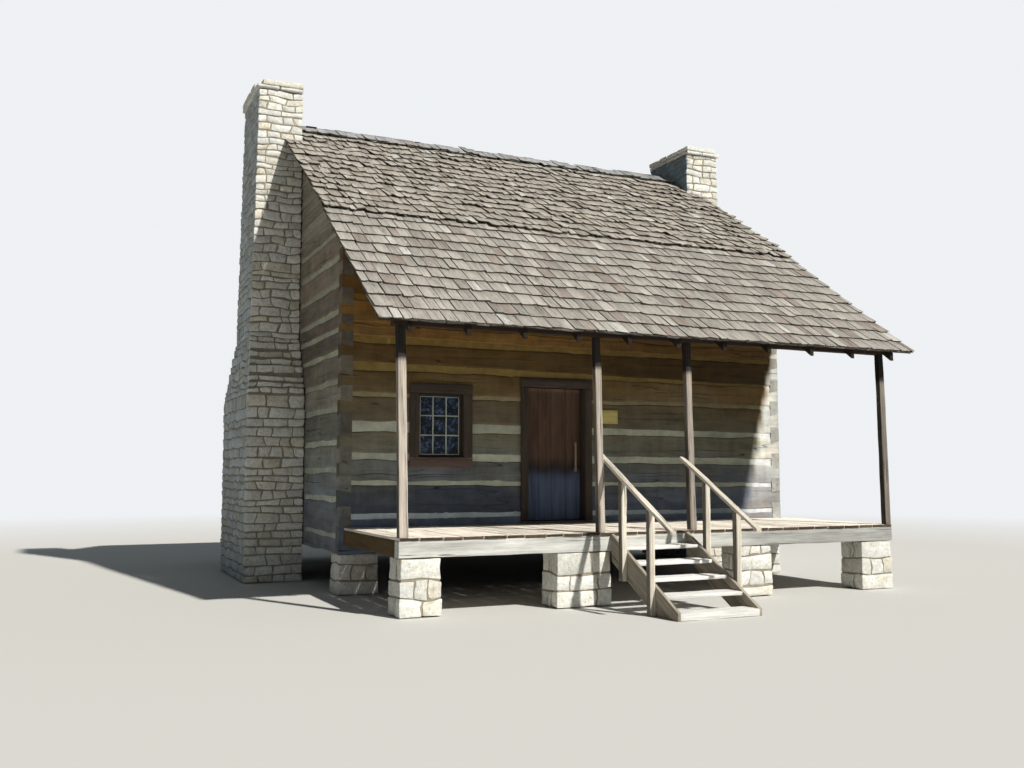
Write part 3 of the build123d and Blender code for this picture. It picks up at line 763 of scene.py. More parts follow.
def hewn_wood(name):
    """Smooth old log faces: soft blotches, stains running down, adze marks and few cracks."""
    made = Finish(name)
    blotches = made.streaks(1.7, 5.0, 6.0, 0.62, 0.3)
    stains = made.streaks(7.0, 1.3, 5.0, 0.65)
    bands = made.streaks(0.5, 9.0, 4.0, 0.55)
    fibres = made.streaks(5.0, 80.0, 3.0)
    speckle = made.noise(45.0, 4.0, 0.7)
    base = made.swung(
        0.5, (blotches, 0.5), (stains, 0.3), (bands, 0.28), (fibres, 0.12), (speckle, 0.22)
    )
    warmer = made.times(base, (1.10, 0.99, 0.86))
    base = made.stained(base, made.streaks(2.3, 6.0, 3.0), 0.42, 0.62, 0.7, warmer)
    lines = made.streaks(0.22, 4.5, 2.0, distortion=0.1)
    where = made.range(made.streaks(0.8, 3.0, 2.0), 0.5, 0.56, 0.0, 0.95)
    base, crack = made.cracked(base, lines, 0.006, where, (0.2, 0.18, 0.16))
    made.relief(0.006, 0.8, (stains, 0.5), (blotches, 0.6), (fibres, 0.12), (crack, -1.2))
    return made.finish(base, made.spread(fibres, 0.92, 0.8), 0.15)


def stone(name):
    """Rough limestone, cream with tan stains, pits and a little grey lichen."""
    made = Finish(name)
    mottle = made.noise(22.0, 6.0, 0.65)
    pits = made.noise(95.0, 3.0)
    tan = made.times(made.tint, stone_tan)
    lichen = made.times(made.tint, lichen_grey)
    base = made.lit(made.spread(mottle, 0.74, 1.12))
    base = made.stained(base, made.noise(7.0, 5.0, distortion=0.5), 0.52, 0.7, 0.525, tan)
    base = made.stained(base, made.noise(38.0, 4.0, 0.55), 0.62, 0.68, 0.55, lichen)
    made.relief(0.012, 0.8, (mottle, 1.0), (pits, 0.5))
    return made.finish(base, made.spread(mottle, 0.95, 0.82), 0.25)


def clay(name):
    """Gritty daub with soft patches."""
    made = Finish(name)
    grit = made.noise(70.0, 5.0, 0.65)
    soft = made.noise(9.0, 4.0)
    base = made.lit(made.spread(soft, 0.8, 1.12))
    base = made.stained(base, grit, 0.55, 0.75, 0.5, made.times(base, (0.5, 0.46, 0.4)))
    made.relief(0.006, 0.9, (grit, 1.0), (soft, 1.5))
    return made.finish(base, made.spread(grit, 0.97, 0.88), 0.15)


def rusted_iron(name):
    """Dark forged iron with brown rust."""
    made = Finish(name)
    rust = made.noise(60.0, 6.0, 0.7)
    base = made.stained(made.tint, rust, 0.45, 0.65, 0.8, rust_brown)
    made.relief(0.0015, 0.8, (rust, 1.0))
    made.put(made.shader.inputs["Metallic"], 0.4)
    return made.finish(base, made.spread(rust, 0.5, 0.85), 0.4)


def old_glass(name):
    """Dark wavy panes with a broken pale blue painted reflection."""
    made = Finish(name)
    reflection = made.noise(14.0, 6.0, 0.75, 1.2)
    base = made.stained(made.tint, reflection, 0.5, 0.68, 0.85, reflection_blue)
    made.relief(0.004, 0.35, (made.noise(9.0, 1.0, 0.4), 1.0))
    return made.finish(base, made.range(reflection, 0.4, 0.7, 0.08, 0.3), 0.35)


log_wood = hewn_wood("log_wood")
beam_wood = wood("beam_wood", 0.46, 1.0, 0.02, 20, 120, 0.005, 1.5)
shake_wood = wood("shake_wood", 0.42, 0.8, 0.02, 34, 190, 0.004)
plank_wood = wood("plank_wood", 0.36, 0.9, 0.014, 24, 170, 0.003)
post_wood = wood("post_wood", 0.52, 1.0, 0.024, 40, 160, 0.004)
dark_wood = wood("dark_wood", 0.4, 0.7, 0.018, 26, 150, 0.004)
stained_wood = wood("stained_wood", 0.36, 0.7, 0.012, 22, 190, 0.002)
limestone = stone("limestone")
daub = clay("daub")
iron = rusted_iron("rusted_iron")
glass = old_glass("old_glass")


# Roof

shake_thickness = 0.020
shake_tail = 2.15
narrowest = 0.07
row_slack = 0.05
eave_inset = 0.012
comb_exposure = 0.31
comb_thickness = 0.022
lath_thickness = 0.020
lath_pitch = 0.20
lath_inset = 0.02
wall_inset = 0.01
shaft_gap = 0.014


def roof_reach(y):
    """Left and right ends of the shakes at a depth; they stop at the walls beside the shafts."""
    if abs(y - ridge_y) < shaft_half + shaft_gap:
        return wall_left + wall_inset, wall_right - wall_inset
    return roof_left, roof_right


class Slope:
    """A roof plane, from the top edge of its eave up to the ridge or wall."""

    def __init__(self, eave_y, eave_z, pitch, toward, length):
        self.origin = np.array([0.0, eave_y, eave_z])
        self.up = np.array([0.0, toward * math.cos(pitch), math.sin(pitch)])
        self.out = np.array([0.0, -toward * math.sin(pitch), math.cos(pitch)])
        self.length = length

    def place(self, a, u, n):
        """Points at distances toward the right, up the slope and out of it."""
        points = self.origin + np.outer(u, self.up) + np.outer(n, self.out)
        points[:, 0] += a
        return points

    def depth(self, u):
        """Y at a distance up the slope."""
        return self.origin[1] + u * self.up[1]


def ridge_slope(eave_y, toward):
    """A main slope, which rises toward the back (1) or the front (-1)."""
    length = abs(ridge_y - eave_y) / math.cos(main_pitch)
    return Slope(eave_y, ridge_z - length * math.sin(main_pitch), main_pitch, toward, length)


front_slope = ridge_slope(front_roof_low[1], 1)
back_slope = ridge_slope(back_roof_high[1], -1)
porch_eave_y = porch_roof_low[1]
porch_eave_z = porch_roof_low[2] + skin / math.cos(porch_pitch)
porch_length = (wall_front - porch_eave_y) / math.cos(porch_pitch)
porch_slope = Slope(porch_eave_y, porch_eave_z, porch_pitch, 1, porch_length)


def add_shake(pile, slope, left, right, start, exposure, tail, thickness, curl, tint, top):
    """One split shake: its butt at a distance up the slope, its tail tucked under the next courses."""
    draw = pile.draw
    points, quads = lattice(3, 4, 1)
    width = right - left
    lengths = np.array([0.0, 0.14, 0.55, 1.0, tail]) * exposure
    u = np.interp(points[:, 1], np.linspace(0, 1, 5), lengths)
    share = u / exposure
    sideways = points[:, 0] - 0.5
    under = 1 - points[:, 2]
    butt = np.clip(1 - share * 3, 0, 1)
    shown = np.clip(1 - share, 0, 1)
    thick = thickness * draw.uniform(0.6, 1.4)
    ragged = draw.normal(0, 0.3 * curl + 0.002, 4)[np.rint(points[:, 0] * 3).astype(int)]
    skew = draw.uniform(-0.02, 0.02)
    lift = draw.uniform(-0.003, 0.25 * curl + 0.002)
    cup = curl * draw.uniform(-0.3, 1.0) * (2 * sideways) ** 2 * shown
    twist = curl * draw.uniform(-0.8, 0.8) * sideways * shown
    n = top + lift * np.clip(1.2 - share, 0, 1) - thickness * share + cup + twist
    n -= under * thick * np.interp(share, [0, tail], [1.0, 0.3])
    a = left + points[:, 0] * width + draw.uniform(-0.003, 0.003) * np.sin(points[:, 1] * 3)
    u = u + 0.012 * under * butt + (ragged + skew * sideways) * butt
    grain = np.column_stack([u, points[:, 0] * width, n])
    # Butts a little lighter with weather; painted shade darkens each shake's underside, butt and
    # sides, so that joints and butt lines look dark, together with darker end grain, and its tail
    # under the next course
    weathering_and_painted_shade = np.interp(share, [0.0, 0.15, 0.8, 1.0], [1.06, 1.0, 0.96, 0.8]) * (1 - 0.74 * under)
    pile.add(slope.place(a, start + u, n), quads, grain, tint * weathering_and_painted_shade[:, None])


def shake_tint(draw, base):
    """A shake's own colour: mostly near the base, a few pale, brown or dark."""
    chance = draw.random()
    tint = base * draw.uniform(0.85, 1.12)
    if chance < 0.04:
        tint = blend(tint, shake_light, 0.55)
    elif chance < 0.14:
        tint = blend(tint, shake_brown, draw.uniform(0.3, 0.7))
    elif chance < 0.19:
        tint = tint * 0.8
    return tint


def lay_course(pile, slope, start, exposure, tail, widths, curl, base, top, ragged):
    """One course of shakes from rake to rake, its line wandering a little."""
    draw = pile.draw
    wander = pile.seed()
    depths = (slope.depth(start), slope.depth(start + exposure))
    left, end = roof_reach(min(depths, key=lambda y: abs(y - ridge_y)))
    left += draw.uniform(0, 0.012)
    end -= draw.uniform(0, 0.012)
    for left, right in side_by_side(draw, left, end, widths, narrowest, row_slack):
        shift = draw.normal(0, 0.9 * curl + 0.006)
        shift += curl * swell([[left, 0.0, 0.0]], (1.1, 1, 1), wander)[0]
        if start < exposure:
            shift = abs(shift) + draw.uniform(0, ragged)
        gap = draw.uniform(0.005, 0.018)
        height = top - draw.uniform(0, 0.2) * ragged
        add_shake(
            pile, slope, left, right - gap, start + shift, exposure, tail, shake_thickness, curl,
            shake_tint(draw, base), height,
        )


def lay_shakes(pile, slope, exposure, widths, curl, base, ragged):
    """Courses of shakes up a slope: doubled at a free eave, or ragged where they lap another roof."""
    count = round(slope.length / exposure)
    exposure = slope.length / count
    if not ragged:
        # The doubled course under the first course gets half the tint: painted shade under it
        lay_course(
            pile, slope, eave_inset, exposure * 0.75, 1.2, widths,
            curl=0.002, base=base * 0.5, top=-0.022, ragged=0.0,
        )
    for course in range(count):
        start = course * exposure
        tail = min(shake_tail, max((slope.length - start) / exposure, 1.0))
        lay_course(pile, slope, start, exposure, tail, widths, curl, base, 0.0, ragged)


def lay_comb(pile):
    """Last course on the weather side, its ends standing a little over the ridge."""
    draw = pile.draw
    start = front_slope.length - comb_exposure
    left, end = wall_left + wall_inset, wall_right - wall_inset
    for left, right in side_by_side(draw, left, end, (0.11, 0.22), 0.0, row_slack):
        add_shake(
            pile, front_slope, left, right - draw.uniform(0.004, 0.014),
            start + draw.normal(0, 0.03), comb_exposure + draw.uniform(0.02, 0.09), 1.0,
            comb_thickness, 0.016, shake_tint(draw, comb_grey), draw.uniform(0.016, 0.030),
        )


def shake_roof(node, slope, seed, base, exposure, widths, curl, ragged=0.0):
    """Piece that covers a roof slab with shakes, with a comb on the front one."""
    pile = Pile(seed)
    lay_shakes(pile, slope, exposure, widths, curl, base, ragged)
    if slope is front_slope:
        lay_comb(pile)
    pile.piece(node + "_shakes", shake_wood, "shakes", [node], sharp=50)


shake_roof(
    "front_roof", front_slope, 11, shake_old,
    exposure=0.26, widths=(0.08, 0.19), curl=0.021, ragged=0.06,
)
shake_roof(
    "back_roof", back_slope, 12, shake_old,
    exposure=0.28, widths=(0.10, 0.20), curl=0.012,
)
shake_roof(
    "porch_roof", porch_slope, 13, shake_new,
    exposure=0.29, widths=(0.10, 0.22), curl=0.007,
)


def add_laths(pile, slope, start):
    """Battens across the rafters, on which the shakes are nailed."""
    while start < slope.length - 0.05:
        width = pile.draw.uniform(0.09, 0.13)
        left, right = roof_reach(slope.depth(start + width / 2))
        points, quads = lattice(24, 2, 1)
        a = left + lath_inset + points[:, 0] * (right - left - 2 * lath_inset)
        u = start + points[:, 1] * min(width, slope.length - start)
        u += 0.004 * swell(points, 0.2, pile.seed())
        n = -skin + points[:, 2] * lath_thickness
        grain = np.column_stack([a, u, n])
        pile.add(slope.place(a, u, n), quads, grain, lath_brown, (0.7, 1.1))
        start += lath_pitch


laths = Pile(21)
for slope, start in ((front_slope, lip_length), (back_slope, 0.06), (porch_slope, 0.06)):
    add_laths(laths, slope, start)
laths.piece("roof_laths", dark_wood, "shakes")

worn("main_rafters", rafter_painted_shade_brown, dark_wood, "roof_timber", 0.3, 0.06, ending="_hewn")
worn("porch_rafters", rafter_painted_shade_brown, dark_wood, "roof_timber", 0.15, 0.04, ending="_hewn")


# Walls

for node in (
    "front_sill_log",
    "front_wall_below_window",
    "front_wall_beside_window",
    "front_wall_over_window",
    "front_wall_right_of_door",
    "front_wall_over_door",
):
    hewn_logs(node, (0, -1, 0))
hewn_logs("back_wall", (0, 1, 0), step=0.14, row=0.05)
hewn_logs("left_wall", (-1, 0, 0), step=0.12, row=0.045)
hewn_logs("right_wall", (1, 0, 0), step=0.12, row=0.045)
for node in ("front_chinking", "back_chinking", "side_chinking"):
    daubed(node)

board_exposure = 0.165
board_lap = 0.03
board_lean = 0.02
board_thickness = 0.024
back_inset = 0.045
gable_low, gable_high = span("gables")


def gable_board(pile, side, bottom):
    """One lapped board of a gable, cut to the rafters; side is -1 on the left and 1 on the right."""
    peak = gable_high[2]
    top = min(bottom + board_exposure + board_lap, peak)
    points, quads = lattice(30, 1, 3)
    height = bottom + points[:, 2] * (top - bottom)
    half_at_foot = (gable_high[1] - gable_low[1]) / 2
    half = np.minimum(half_at_foot, (peak - height) / math.tan(main_pitch))
    y = ridge_y + (2 * points[:, 0] - 1) * half
    lean = np.interp(height, [bottom, bottom + board_exposure], [0, board_lean])
    sag = 0.004 * swell(np.column_stack([y, height, height]), (0.8, 0.3, 0.3), pile.seed())
    inward = lean + board_thickness * (1 - points[:, 1]) + 0.002 + np.abs(sag) * 0.5
    x = (wall_left if side < 0 else wall_right) - side * inward
    place = np.column_stack([x, y, height + sag * (points[:, 2] < 0.01)])
    faces = quads if side > 0 else [quad[::-1] for quad in quads]
    pile.add(place, faces, np.column_stack([y, height, x]), timber_grey, (0.8, 1.1))


def gable_boards():
    """Lapped boards over both gables."""
    pile = Pile(31)
    for side in (-1, 1):
        bottom = gable_low[2]
        while bottom < gable_high[2] - 0.05:
            gable_board(pile, side, bottom)
            bottom += board_exposure
    pile.piece("gable_lap_boards", plank_wood, "gable_boards")


def gable_backs():
    """The panels behind the lapped boards, drawn in so that only the boards show outside."""
    pile = weathered("gables", inner_brown, step=0.3, across=0.3, bevel=0.0, rough=0.001)
    for points in pile.points:
        outside = np.abs(points[:, 0]) > wall_right - 0.005
        points[:, 0] -= np.sign(points[:, 0]) * np.where(outside, back_inset, 0)
    pile.piece("gable_backs", dark_wood, "gable_boards", ["gables"])


gable_boards()
gable_backs()


# Masonry

pier_batter = 0.018
core_inset = 0.020
bed_wander = 0.020
side_wander = 0.022
stone_edge = 0.018
stone_rough = 0.010
stone_depth = 0.17
shaft_stone_depth = 0.14
flue_inner = 3.82
flue_outer = 4.08
flue_half = 0.31
cap_step = 0.09
missing_slab = 0.27
slab_joint = 0.003
bed_joint = 0.002

# Painted shade on the left side of each chimney, darker and bluer, as factors of red, green and blue
left_chimney_painted_shade = np.array([0.62, 0.70, 0.78])
right_chimney_painted_shade = np.array([0.25, 0.36, 0.50])

# Least and most height of a course of stones, and width of a stone
pier_rises = (0.13, 0.23)
pier_widths = (0.24, 0.58)
hearth_rises = (0.09, 0.17)
hearth_widths = (0.16, 0.42)
shaft_rises = (0.08, 0.15)
shaft_widths = (0.15, 0.38)


def settled(points, outline, low, high, seed):
    """Points moved along the faces so that the joints wander; corners, foot and top stay."""
    moved = points.copy()
    fade = ramp(np.minimum(points[:, 2] - low, high - points[:, 2]), 0, 0.08)
    moved[:, 2] += fade * bed_wander * swell(points, (0.42, 0.42, 0.3), seed)
    for axis in (0, 1):
        near, far = outline[2 * axis:2 * axis + 2]
        fade = ramp(np.minimum(points[:, axis] - near, far - points[:, axis]), 0, 0.12)
        moved[:, axis] += fade * side_wander * swell(points, (0.34, 0.34, 0.16), seed + 1)
    return moved


def add_stone(pile, low, high, inward=None):
    """A rough stone; its sides toward the core are left plain."""
    draw = pile.draw
    seed = pile.seed()
    rounding = draw.uniform(0.008, 0.02)
    divisions = [4 if size > 0.12 else 3 for size in np.subtract(high, low)]
    if inward is not None:
        divisions[inward] = 2
    points, faces = worn_block(low, high, divisions, stone_edge, rounding, stone_rough, seed, 0.13)
    tint = blend(stone_cream, stone_grey, draw.uniform(0, 0.6) ** 1.5)
    tint = blend(tint, stone_tan, max(0, draw.uniform(-0.6, 0.5)))
    pile.add(points, faces, points, tint, (0.84, 1.06))


def stone_row(pile, outline, side, corners, bottom, top, depth, widths):
    """Stones of a course on one side: front, back, left or right (0 to 3), with or without corners."""
    draw = pile.draw
    along = side // 2
    across = 1 - along
    start, end = outline[2 * along:2 * along + 2]
    near, far = outline[2 * across:2 * across + 2]
    inner = min(depth, (end - start) / 2 - 0.01, (far - near) / 2 - 0.005)
    if not corners:
        start, end = start + inner, end - inner
    for here, there in side_by_side(draw, start, end, widths, widths[0] * 0.8, 0.01):
        recess = draw.uniform(0.0, 0.007)
        joint = draw.uniform(0.002, 0.0045)
        low = np.full(3, bottom + joint)
        high = np.full(3, top - joint)
        low[along] = here + joint
        high[along] = there - joint
        low[across] = far - inner if side % 2 else near + recess
        high[across] = far - recess if side % 2 else near + inner
        add_stone(pile, low, high, across)


def masonry(pile, shape, low, high, rises, widths, depth=stone_depth, flank_shade=1.0):
    """Courses of stones round an outline; shape(height) gives its left, right, front and back."""
    seed = pile.seed()
    courses = side_by_side(pile.draw, low, high, rises, rises[0] * 0.75)
    for course, (bottom, top) in enumerate(courses):
        outline = shape((bottom + top) / 2)
        first = len(pile.points)
        for side in range(4):
            corners = (side < 2) == (course % 2 == 0)
            stone_row(pile, outline, side, corners, bottom, top, depth, widths)
        for number in range(first, len(pile.points)):
            points = pile.points[number]
            # Painted shade on the outline's left side
            in_flank_shade = (points[:, 0] < outline[0] + 0.03) & (points[:, 1] > outline[2] + 0.015)
            pile.tint[number] = pile.tint[number] * np.where(in_flank_shade[:, None], flank_shade, 1.0)
            pile.points[number] = settled(points, outline, low, high, seed)


def mortar_core(node):
    """Copy of a masonry node with every face moved in, behind its stones."""
    pile = Pile(0)
    for part in loose_parts(node):
        moves = []
        for vertex in part.verts:
            normals = np.array([face.normal for face in vertex.link_faces])
            inward = np.full(len(normals), -core_inset)
            moves.append(np.linalg.lstsq(normals, inward, rcond=0.05)[0])
        points, faces = finished(part)
        points = points + np.array(moves)
        pile.add(points, faces, points, mortar_grey, moved=False)
    pile.piece(node + "_core", daub, "fieldstone", [node])


def pier_shape(low, high):
    """Outline of a pier that narrows a little to its top."""
    def shape(z):
        inset = pier_batter * (z - low[2]) / (high[2] - low[2])
        return low[0] + inset, high[0] - inset, low[1] + inset, high[1] - inset
    return shape


def chimney_shape(side, top):
    """Outline of a chimney at a height: a wide hearth, sloping shoulders and a tapering shaft."""
    heights = [hearth_height, shoulder_top, top]

    def shape(z):
        half = np.interp(z, heights[:2], [hearth_half, shaft_half])
        reach = np.interp(z, heights, [hearth_depth, shaft_base_depth, shaft_top_depth])
        face = wall_left if side < 0 else wall_right
        near, far = sorted((face, face + side * reach))
        return near, far, ridge_y - half, ridge_y + half
    return shape


pier_draw = np.random.default_rng(41)
for node in ("porch_piers", "house_piers"):
    pile = Pile(pier_draw)
    for part in loose_parts(node):
        points = finished(part)[0]
        low, high = points.min(0), points.max(0)
        masonry(pile, pier_shape(low, high), low[2], high[2], pier_rises, pier_widths)
    pile.piece(node + "_stones", limestone, "fieldstone")
    mortar_core(node)

chimney_draw = np.random.default_rng(51)
for node, side, flank_shade in (
    ("left_chimney", -1, left_chimney_painted_shade),
    ("right_chimney", 1, right_chimney_painted_shade),
):
    low, high = span(node)
    pile = Pile(chimney_draw)
    shape = chimney_shape(side, high[2])
    masonry(pile, shape, low[2], hearth_height, hearth_rises, hearth_widths, stone_depth, flank_shade)
    masonry(pile, shape, hearth_height, high[2], shaft_rises, shaft_widths, shaft_stone_depth, flank_shade)
    pile.piece(node + "_stones", limestone, "fieldstone")
    mortar_core(node)


def cap_layer(pile, side, bottom, top, stepped):
    """Flat slabs round a flue: two at its front, two at its back and two on each side."""
    draw = pile.draw
    face = wall_left if side < 0 else wall_right
    outer = side * cap_high[0]
    near, far = sorted((face, outer))
    flue_near, flue_far = sorted((side * flue_inner, side * flue_outer))
    flue_front, flue_back = ridge_y - flue_half, ridge_y + flue_half
    z = bottom + bed_joint
    for front, back in ((cap_low[1], flue_front), (flue_back, cap_high[1])):
        short = stepped and back == flue_front
        middle = outer - side * cap_step if short else (near + far) / 2 + draw.uniform(-0.06, 0.06)
        for a, b in ((near, middle), (middle, far)):
            start = front + (missing_slab if short and outer in (a, b) else 0.0)
            low = (a + slab_joint, start + bed_joint, z)
            add_stone(pile, low, (b - slab_joint, back - bed_joint, top))
    for left, right in ((near, flue_near), (flue_far, far)):
        middle = (flue_front + flue_back) / 2 + draw.uniform(-0.08, 0.08)
        for a, b in ((flue_front, middle), (middle, flue_back)):
            add_stone(pile, (left, a + slab_joint, z), (right, b - slab_joint, top))


def cap_slabs():
    """Two layers of slabs on each chimney, the upper one without its outer front corner."""
    pile = Pile(61)
    bottom, top = cap_low[2], cap_high[2]
    for side in (-1, 1):
        cap_layer(pile, side, bottom, top - cap_step, False)
        cap_layer(pile, side, top - cap_step, top, True)
    pile.piece("chimney_cap_slabs", limestone, "fieldstone", ["chimney_caps"])


cap_slabs()


# Floors and timbers

# Height over which a painted shadow of the roof darkens the posts, and the tone of each post from the
# left
post_shadow_height = 2.83
post_tones = (1.05, 0.96, 0.66, 0.40)


def board_floor(node, draw, tint, axis, widths, gap, step, uneven, end_tint=None):
    """Piece of boards side by side in a node's place, running along an axis."""
    low, high = span(node)
    pile = Pile(draw)
    across = 1 - axis
    row = side_by_side(draw, low[across], high[across], widths, widths[0] * 0.6)
    for here, there in row:
        a = low.copy()
        b = high.copy()
        a[across] = here + gap / 2
        b[across] = there - gap / 2
        a[axis] += draw.uniform(0, uneven)
        a[2] += draw.uniform(0, 0.001)
        b[2] -= draw.uniform(0, 0.003)
        shade = draw.uniform(0.74, 1.06)
        add_board(pile, a, b, axis, tint * shade, step, 0.05, 0.005, 0.0025)
        if end_tint is not None:
            at_end = pile.points[-1][:, axis:axis + 1] < a[axis] + 0.004
            pile.tint[-1] = np.where(at_end, end_tint * draw.uniform(0.6, 1.3), pile.tint[-1])
    pile.piece(node + "_boards", plank_wood, "floor_boards", [node])


def front_beam():
    """The beam along the porch, darkened with painted shade from its middle to the right."""
    beam = weathered("porch_front_beam", beam_white, 0.10, 0.035, 0.008, 0.003, vary=0.02)
    for number, points in enumerate(beam.points):
        painted_shade = 0.36 * ramp(points[:, :1], 0.6, 0.8)
        beam.tint[number] = beam.tint[number] * (1 - painted_shade)
    beam.piece("porch_front_beam_worn", beam_wood, "porch_timber", ["porch_front_beam"])


def middle_and_half(points):
    """Middle of some points and half their width, in X."""
    left, right = points[:, 0].min(), points[:, 0].max()
    return (left + right) / 2, (right - left) / 2


def posts_with_painted_shade(node, tint, step, across, bevel, shadow_height=None, tones=None):
    """Uprights pale with weather, with painted shade on the side away from the sun and a painted
    shadow of the roof over the shadow height.
    """
    pile = weathered(node, tint, step, across, bevel, 0.003, vary=0.06)
    order = np.argsort(np.argsort([points[:, 0].min() for points in pile.points]))
    for number, points in enumerate(pile.points):
        height = points[:, 2]
        foot = points[height < height.min() + 0.05]
        head = points[height > height.max() - 0.25]
        foot_middle, half = middle_and_half(foot)
        rise = (height - foot[:, 2].mean()) / (head[:, 2].mean() - foot[:, 2].mean())
        middle = foot_middle + rise * (middle_and_half(head)[0] - foot_middle)
        # Painted shade on the side away from the sun
        shaded = np.clip((middle - points[:, 0]) / half * 6 - 4.6, 0, 1)
        tone = tones[order[number]] if tones else 1.0
        tints = blend(pile.tint[number] * tone, post_shade_dark * tone, 0.8 * shaded)
        # Painted shadow of the roof over the shadow height
        if shadow_height:
            tints = blend(tints, post_shade_dark * 0.22, 0.95 * ramp(height, shadow_height, 0.06))
        pile.tint[number] = tints
    pile.piece(node + "_worn", post_wood, "porch_timber", [node])


floor_draw = np.random.default_rng(71)
board_floor(
    "porch_floor", floor_draw, floor_tan, axis=1, widths=(0.22, 0.30), gap=0.012, step=0.12,
    uneven=0.016, end_tint=floor_end,
)
board_floor(
    "house_floor", floor_draw, inner_brown, axis=0, widths=(0.15, 0.22), gap=0.004, step=0.4,
    uneven=0.0,
)
front_beam()
worn("porch_cross_beams", timber_brown, dark_wood, "floor_timber", 0.12, 0.05, 0.006, 0.003)
worn("porch_joists", timber_brown, dark_wood, "floor_timber", 0.3, 0.06, 0.0, 0.002)
worn("house_floor_joists", timber_brown, dark_wood, "floor_timber", 0.4, 0.08, 0.0, 0.002)
worn("porch_plate", plate_painted_shade_brown, dark_wood, "porch_timber", 0.10, 0.035, 0.006, 0.003)
posts_with_painted_shade("porch_posts", timber_pale, 0.06, 0.028, 0.006, post_shadow_height, post_tones)

# Steps

worn("step_stringers", timber_grey, post_wood, "porch_timber", 0.08, 0.035, 0.004, 0.002)
worn("step_treads", tread_pale, plank_wood, "porch_timber", 0.08, 0.035, 0.006, 0.003, vary=0.06)
posts_with_painted_shade("step_rail_posts", rail_pale, 0.06, 0.022, 0.005)
worn("step_handrails", rail_pale, post_wood, "porch_timber", 0.06, 0.022, 0.005, 0.002, vary=0.06)


# Door

leaf_low, leaf_high = span("door_leaf")
leaf_joints = (0.0, 0.24, 0.47, 0.73, 1.0)
half_joint = 0.0015
reflection_height = 0.78
door_gap = 0.008


def door_board_tint(points, tint, left):
    """A board's colours: a painted bluish sky reflection at the foot, a painted shadow line over that,
    rubbed edges where it has them.
    """
    rise = points[:, 2] - leaf_low[2] + 0.03 * swell(points, 0.2, 3)
    tint = blend(tint, door_foot_sky_reflection, (reflection_height - rise) / 0.1)
    tint = blend(tint, door_shadow, 0.8 * np.exp(-((rise - reflection_height + 0.04) / 0.09) ** 2))
    tint = blend(tint, door_worn, 0.35 * (rise > leaf_high[2] - leaf_low[2] - 0.02))
    rub = np.exp(-((points[:, 0] - left - 0.03) / 0.02) ** 2) * ramp(rise, 0.8, 0.2)
    return blend(tint, door_worn, 0.36 * rub * (left > leaf_low[0]))


def door_boards():
    """Vertical boards of the leaf."""
    pile = Pile(81)
    width = leaf_high[0] - leaf_low[0]
    for near, far in zip(leaf_joints, leaf_joints[1:]):
        low = leaf_low.copy()
        high = leaf_high.copy()
        low[0] = leaf_low[0] + near * width + (half_joint if near else 0)
        high[0] = leaf_low[0] + far * width - (half_joint if far < 1 else 0)
        low[1] += pile.draw.uniform(0, 0.002)
        shade = pile.draw.uniform(0.88, 1.1)
        add_board(pile, low, high, 2, door_red * shade, 0.06, 0.04, 0.003, 0.0015)
        pile.tint[-1] = door_board_tint(pile.points[-1], pile.tint[-1], low[0])
    pile.piece("door_boards", stained_wood, "door_boards", ["door_leaf"], "door")


door_boards()
worn("door_battens", door_red, stained_wood, "door_boards", 0.06, 0.04, 0.004, 0.001, body="door")
weathered("door_handle", pull_tan, 0.02, 0.008, 0.004, 0.001).piece(
    "door_pull", post_wood, "pull_wood", ["door_handle"], "door"
)
worn(
    "door_hinge_straps", iron_dark, iron, "iron", 0.04, 0.02, 0.001, 0.0004,
    ending="_forged", body="door",
)
worn("door_hinge_pins", iron_dark, iron, "iron", 0.04, 0.02, 0.0, 0.0, ending="_forged")


# Frames and window

sill_edge = 0.012
sill_proud = 0.006
light_count = 3
bead_width = 0.012
muntin_width = 0.018
muntin_proud = 0.002
sash_low, sash_high = span("window_sash")
glass_low, glass_high = span("window_glass")


def frame_boards(node, clear, lining, casing, seed):
    """Boards lining an opening and wide casing boards round it on the outer face."""
    pile = Pile(seed)
    low, high = span(node)
    left, right, bottom, top = clear
    face = wall_front
    whole = node == "door_frame"

    def board(x0, x1, y0, y1, z0, z1, axis, tint=casing_red):
        tint = tint * pile.draw.uniform(0.85, 1.08)
        add_board(pile, (x0, y0, z0), (x1, y1, z1), axis, tint, 0.06, 0.03, 0.004, 0.0015)

    head = high[2] if whole else top + lining
    foot = low[2] if whole else bottom - lining
    board(left - lining, left, face, high[1], bottom, top, 2)
    board(right, right + lining, face, high[1], bottom, top, 2)
    board(left - lining, right + lining, face, high[1], top, head, 0)
    board(left - lining, right + lining, face, high[1], foot, bottom, 0)
    board(left - casing, left, low[1], face, bottom, top, 2)
    board(right, right + casing, low[1], face, bottom, top, 2)
    left, right = left - casing, right + casing
    board(left, right, low[1], face, top, top + casing, 0)
    board(left, right, low[1], face, low[2], bottom - sill_edge, 0, sill_red)
    # The sill's proud front edge is paler: a painted highlight
    board(left, right, low[1] - sill_proud, face, bottom - sill_edge, bottom, 0, sill_red * 1.5)
    pile.piece(node + "_boards", stained_wood, "frame_boards", [node])


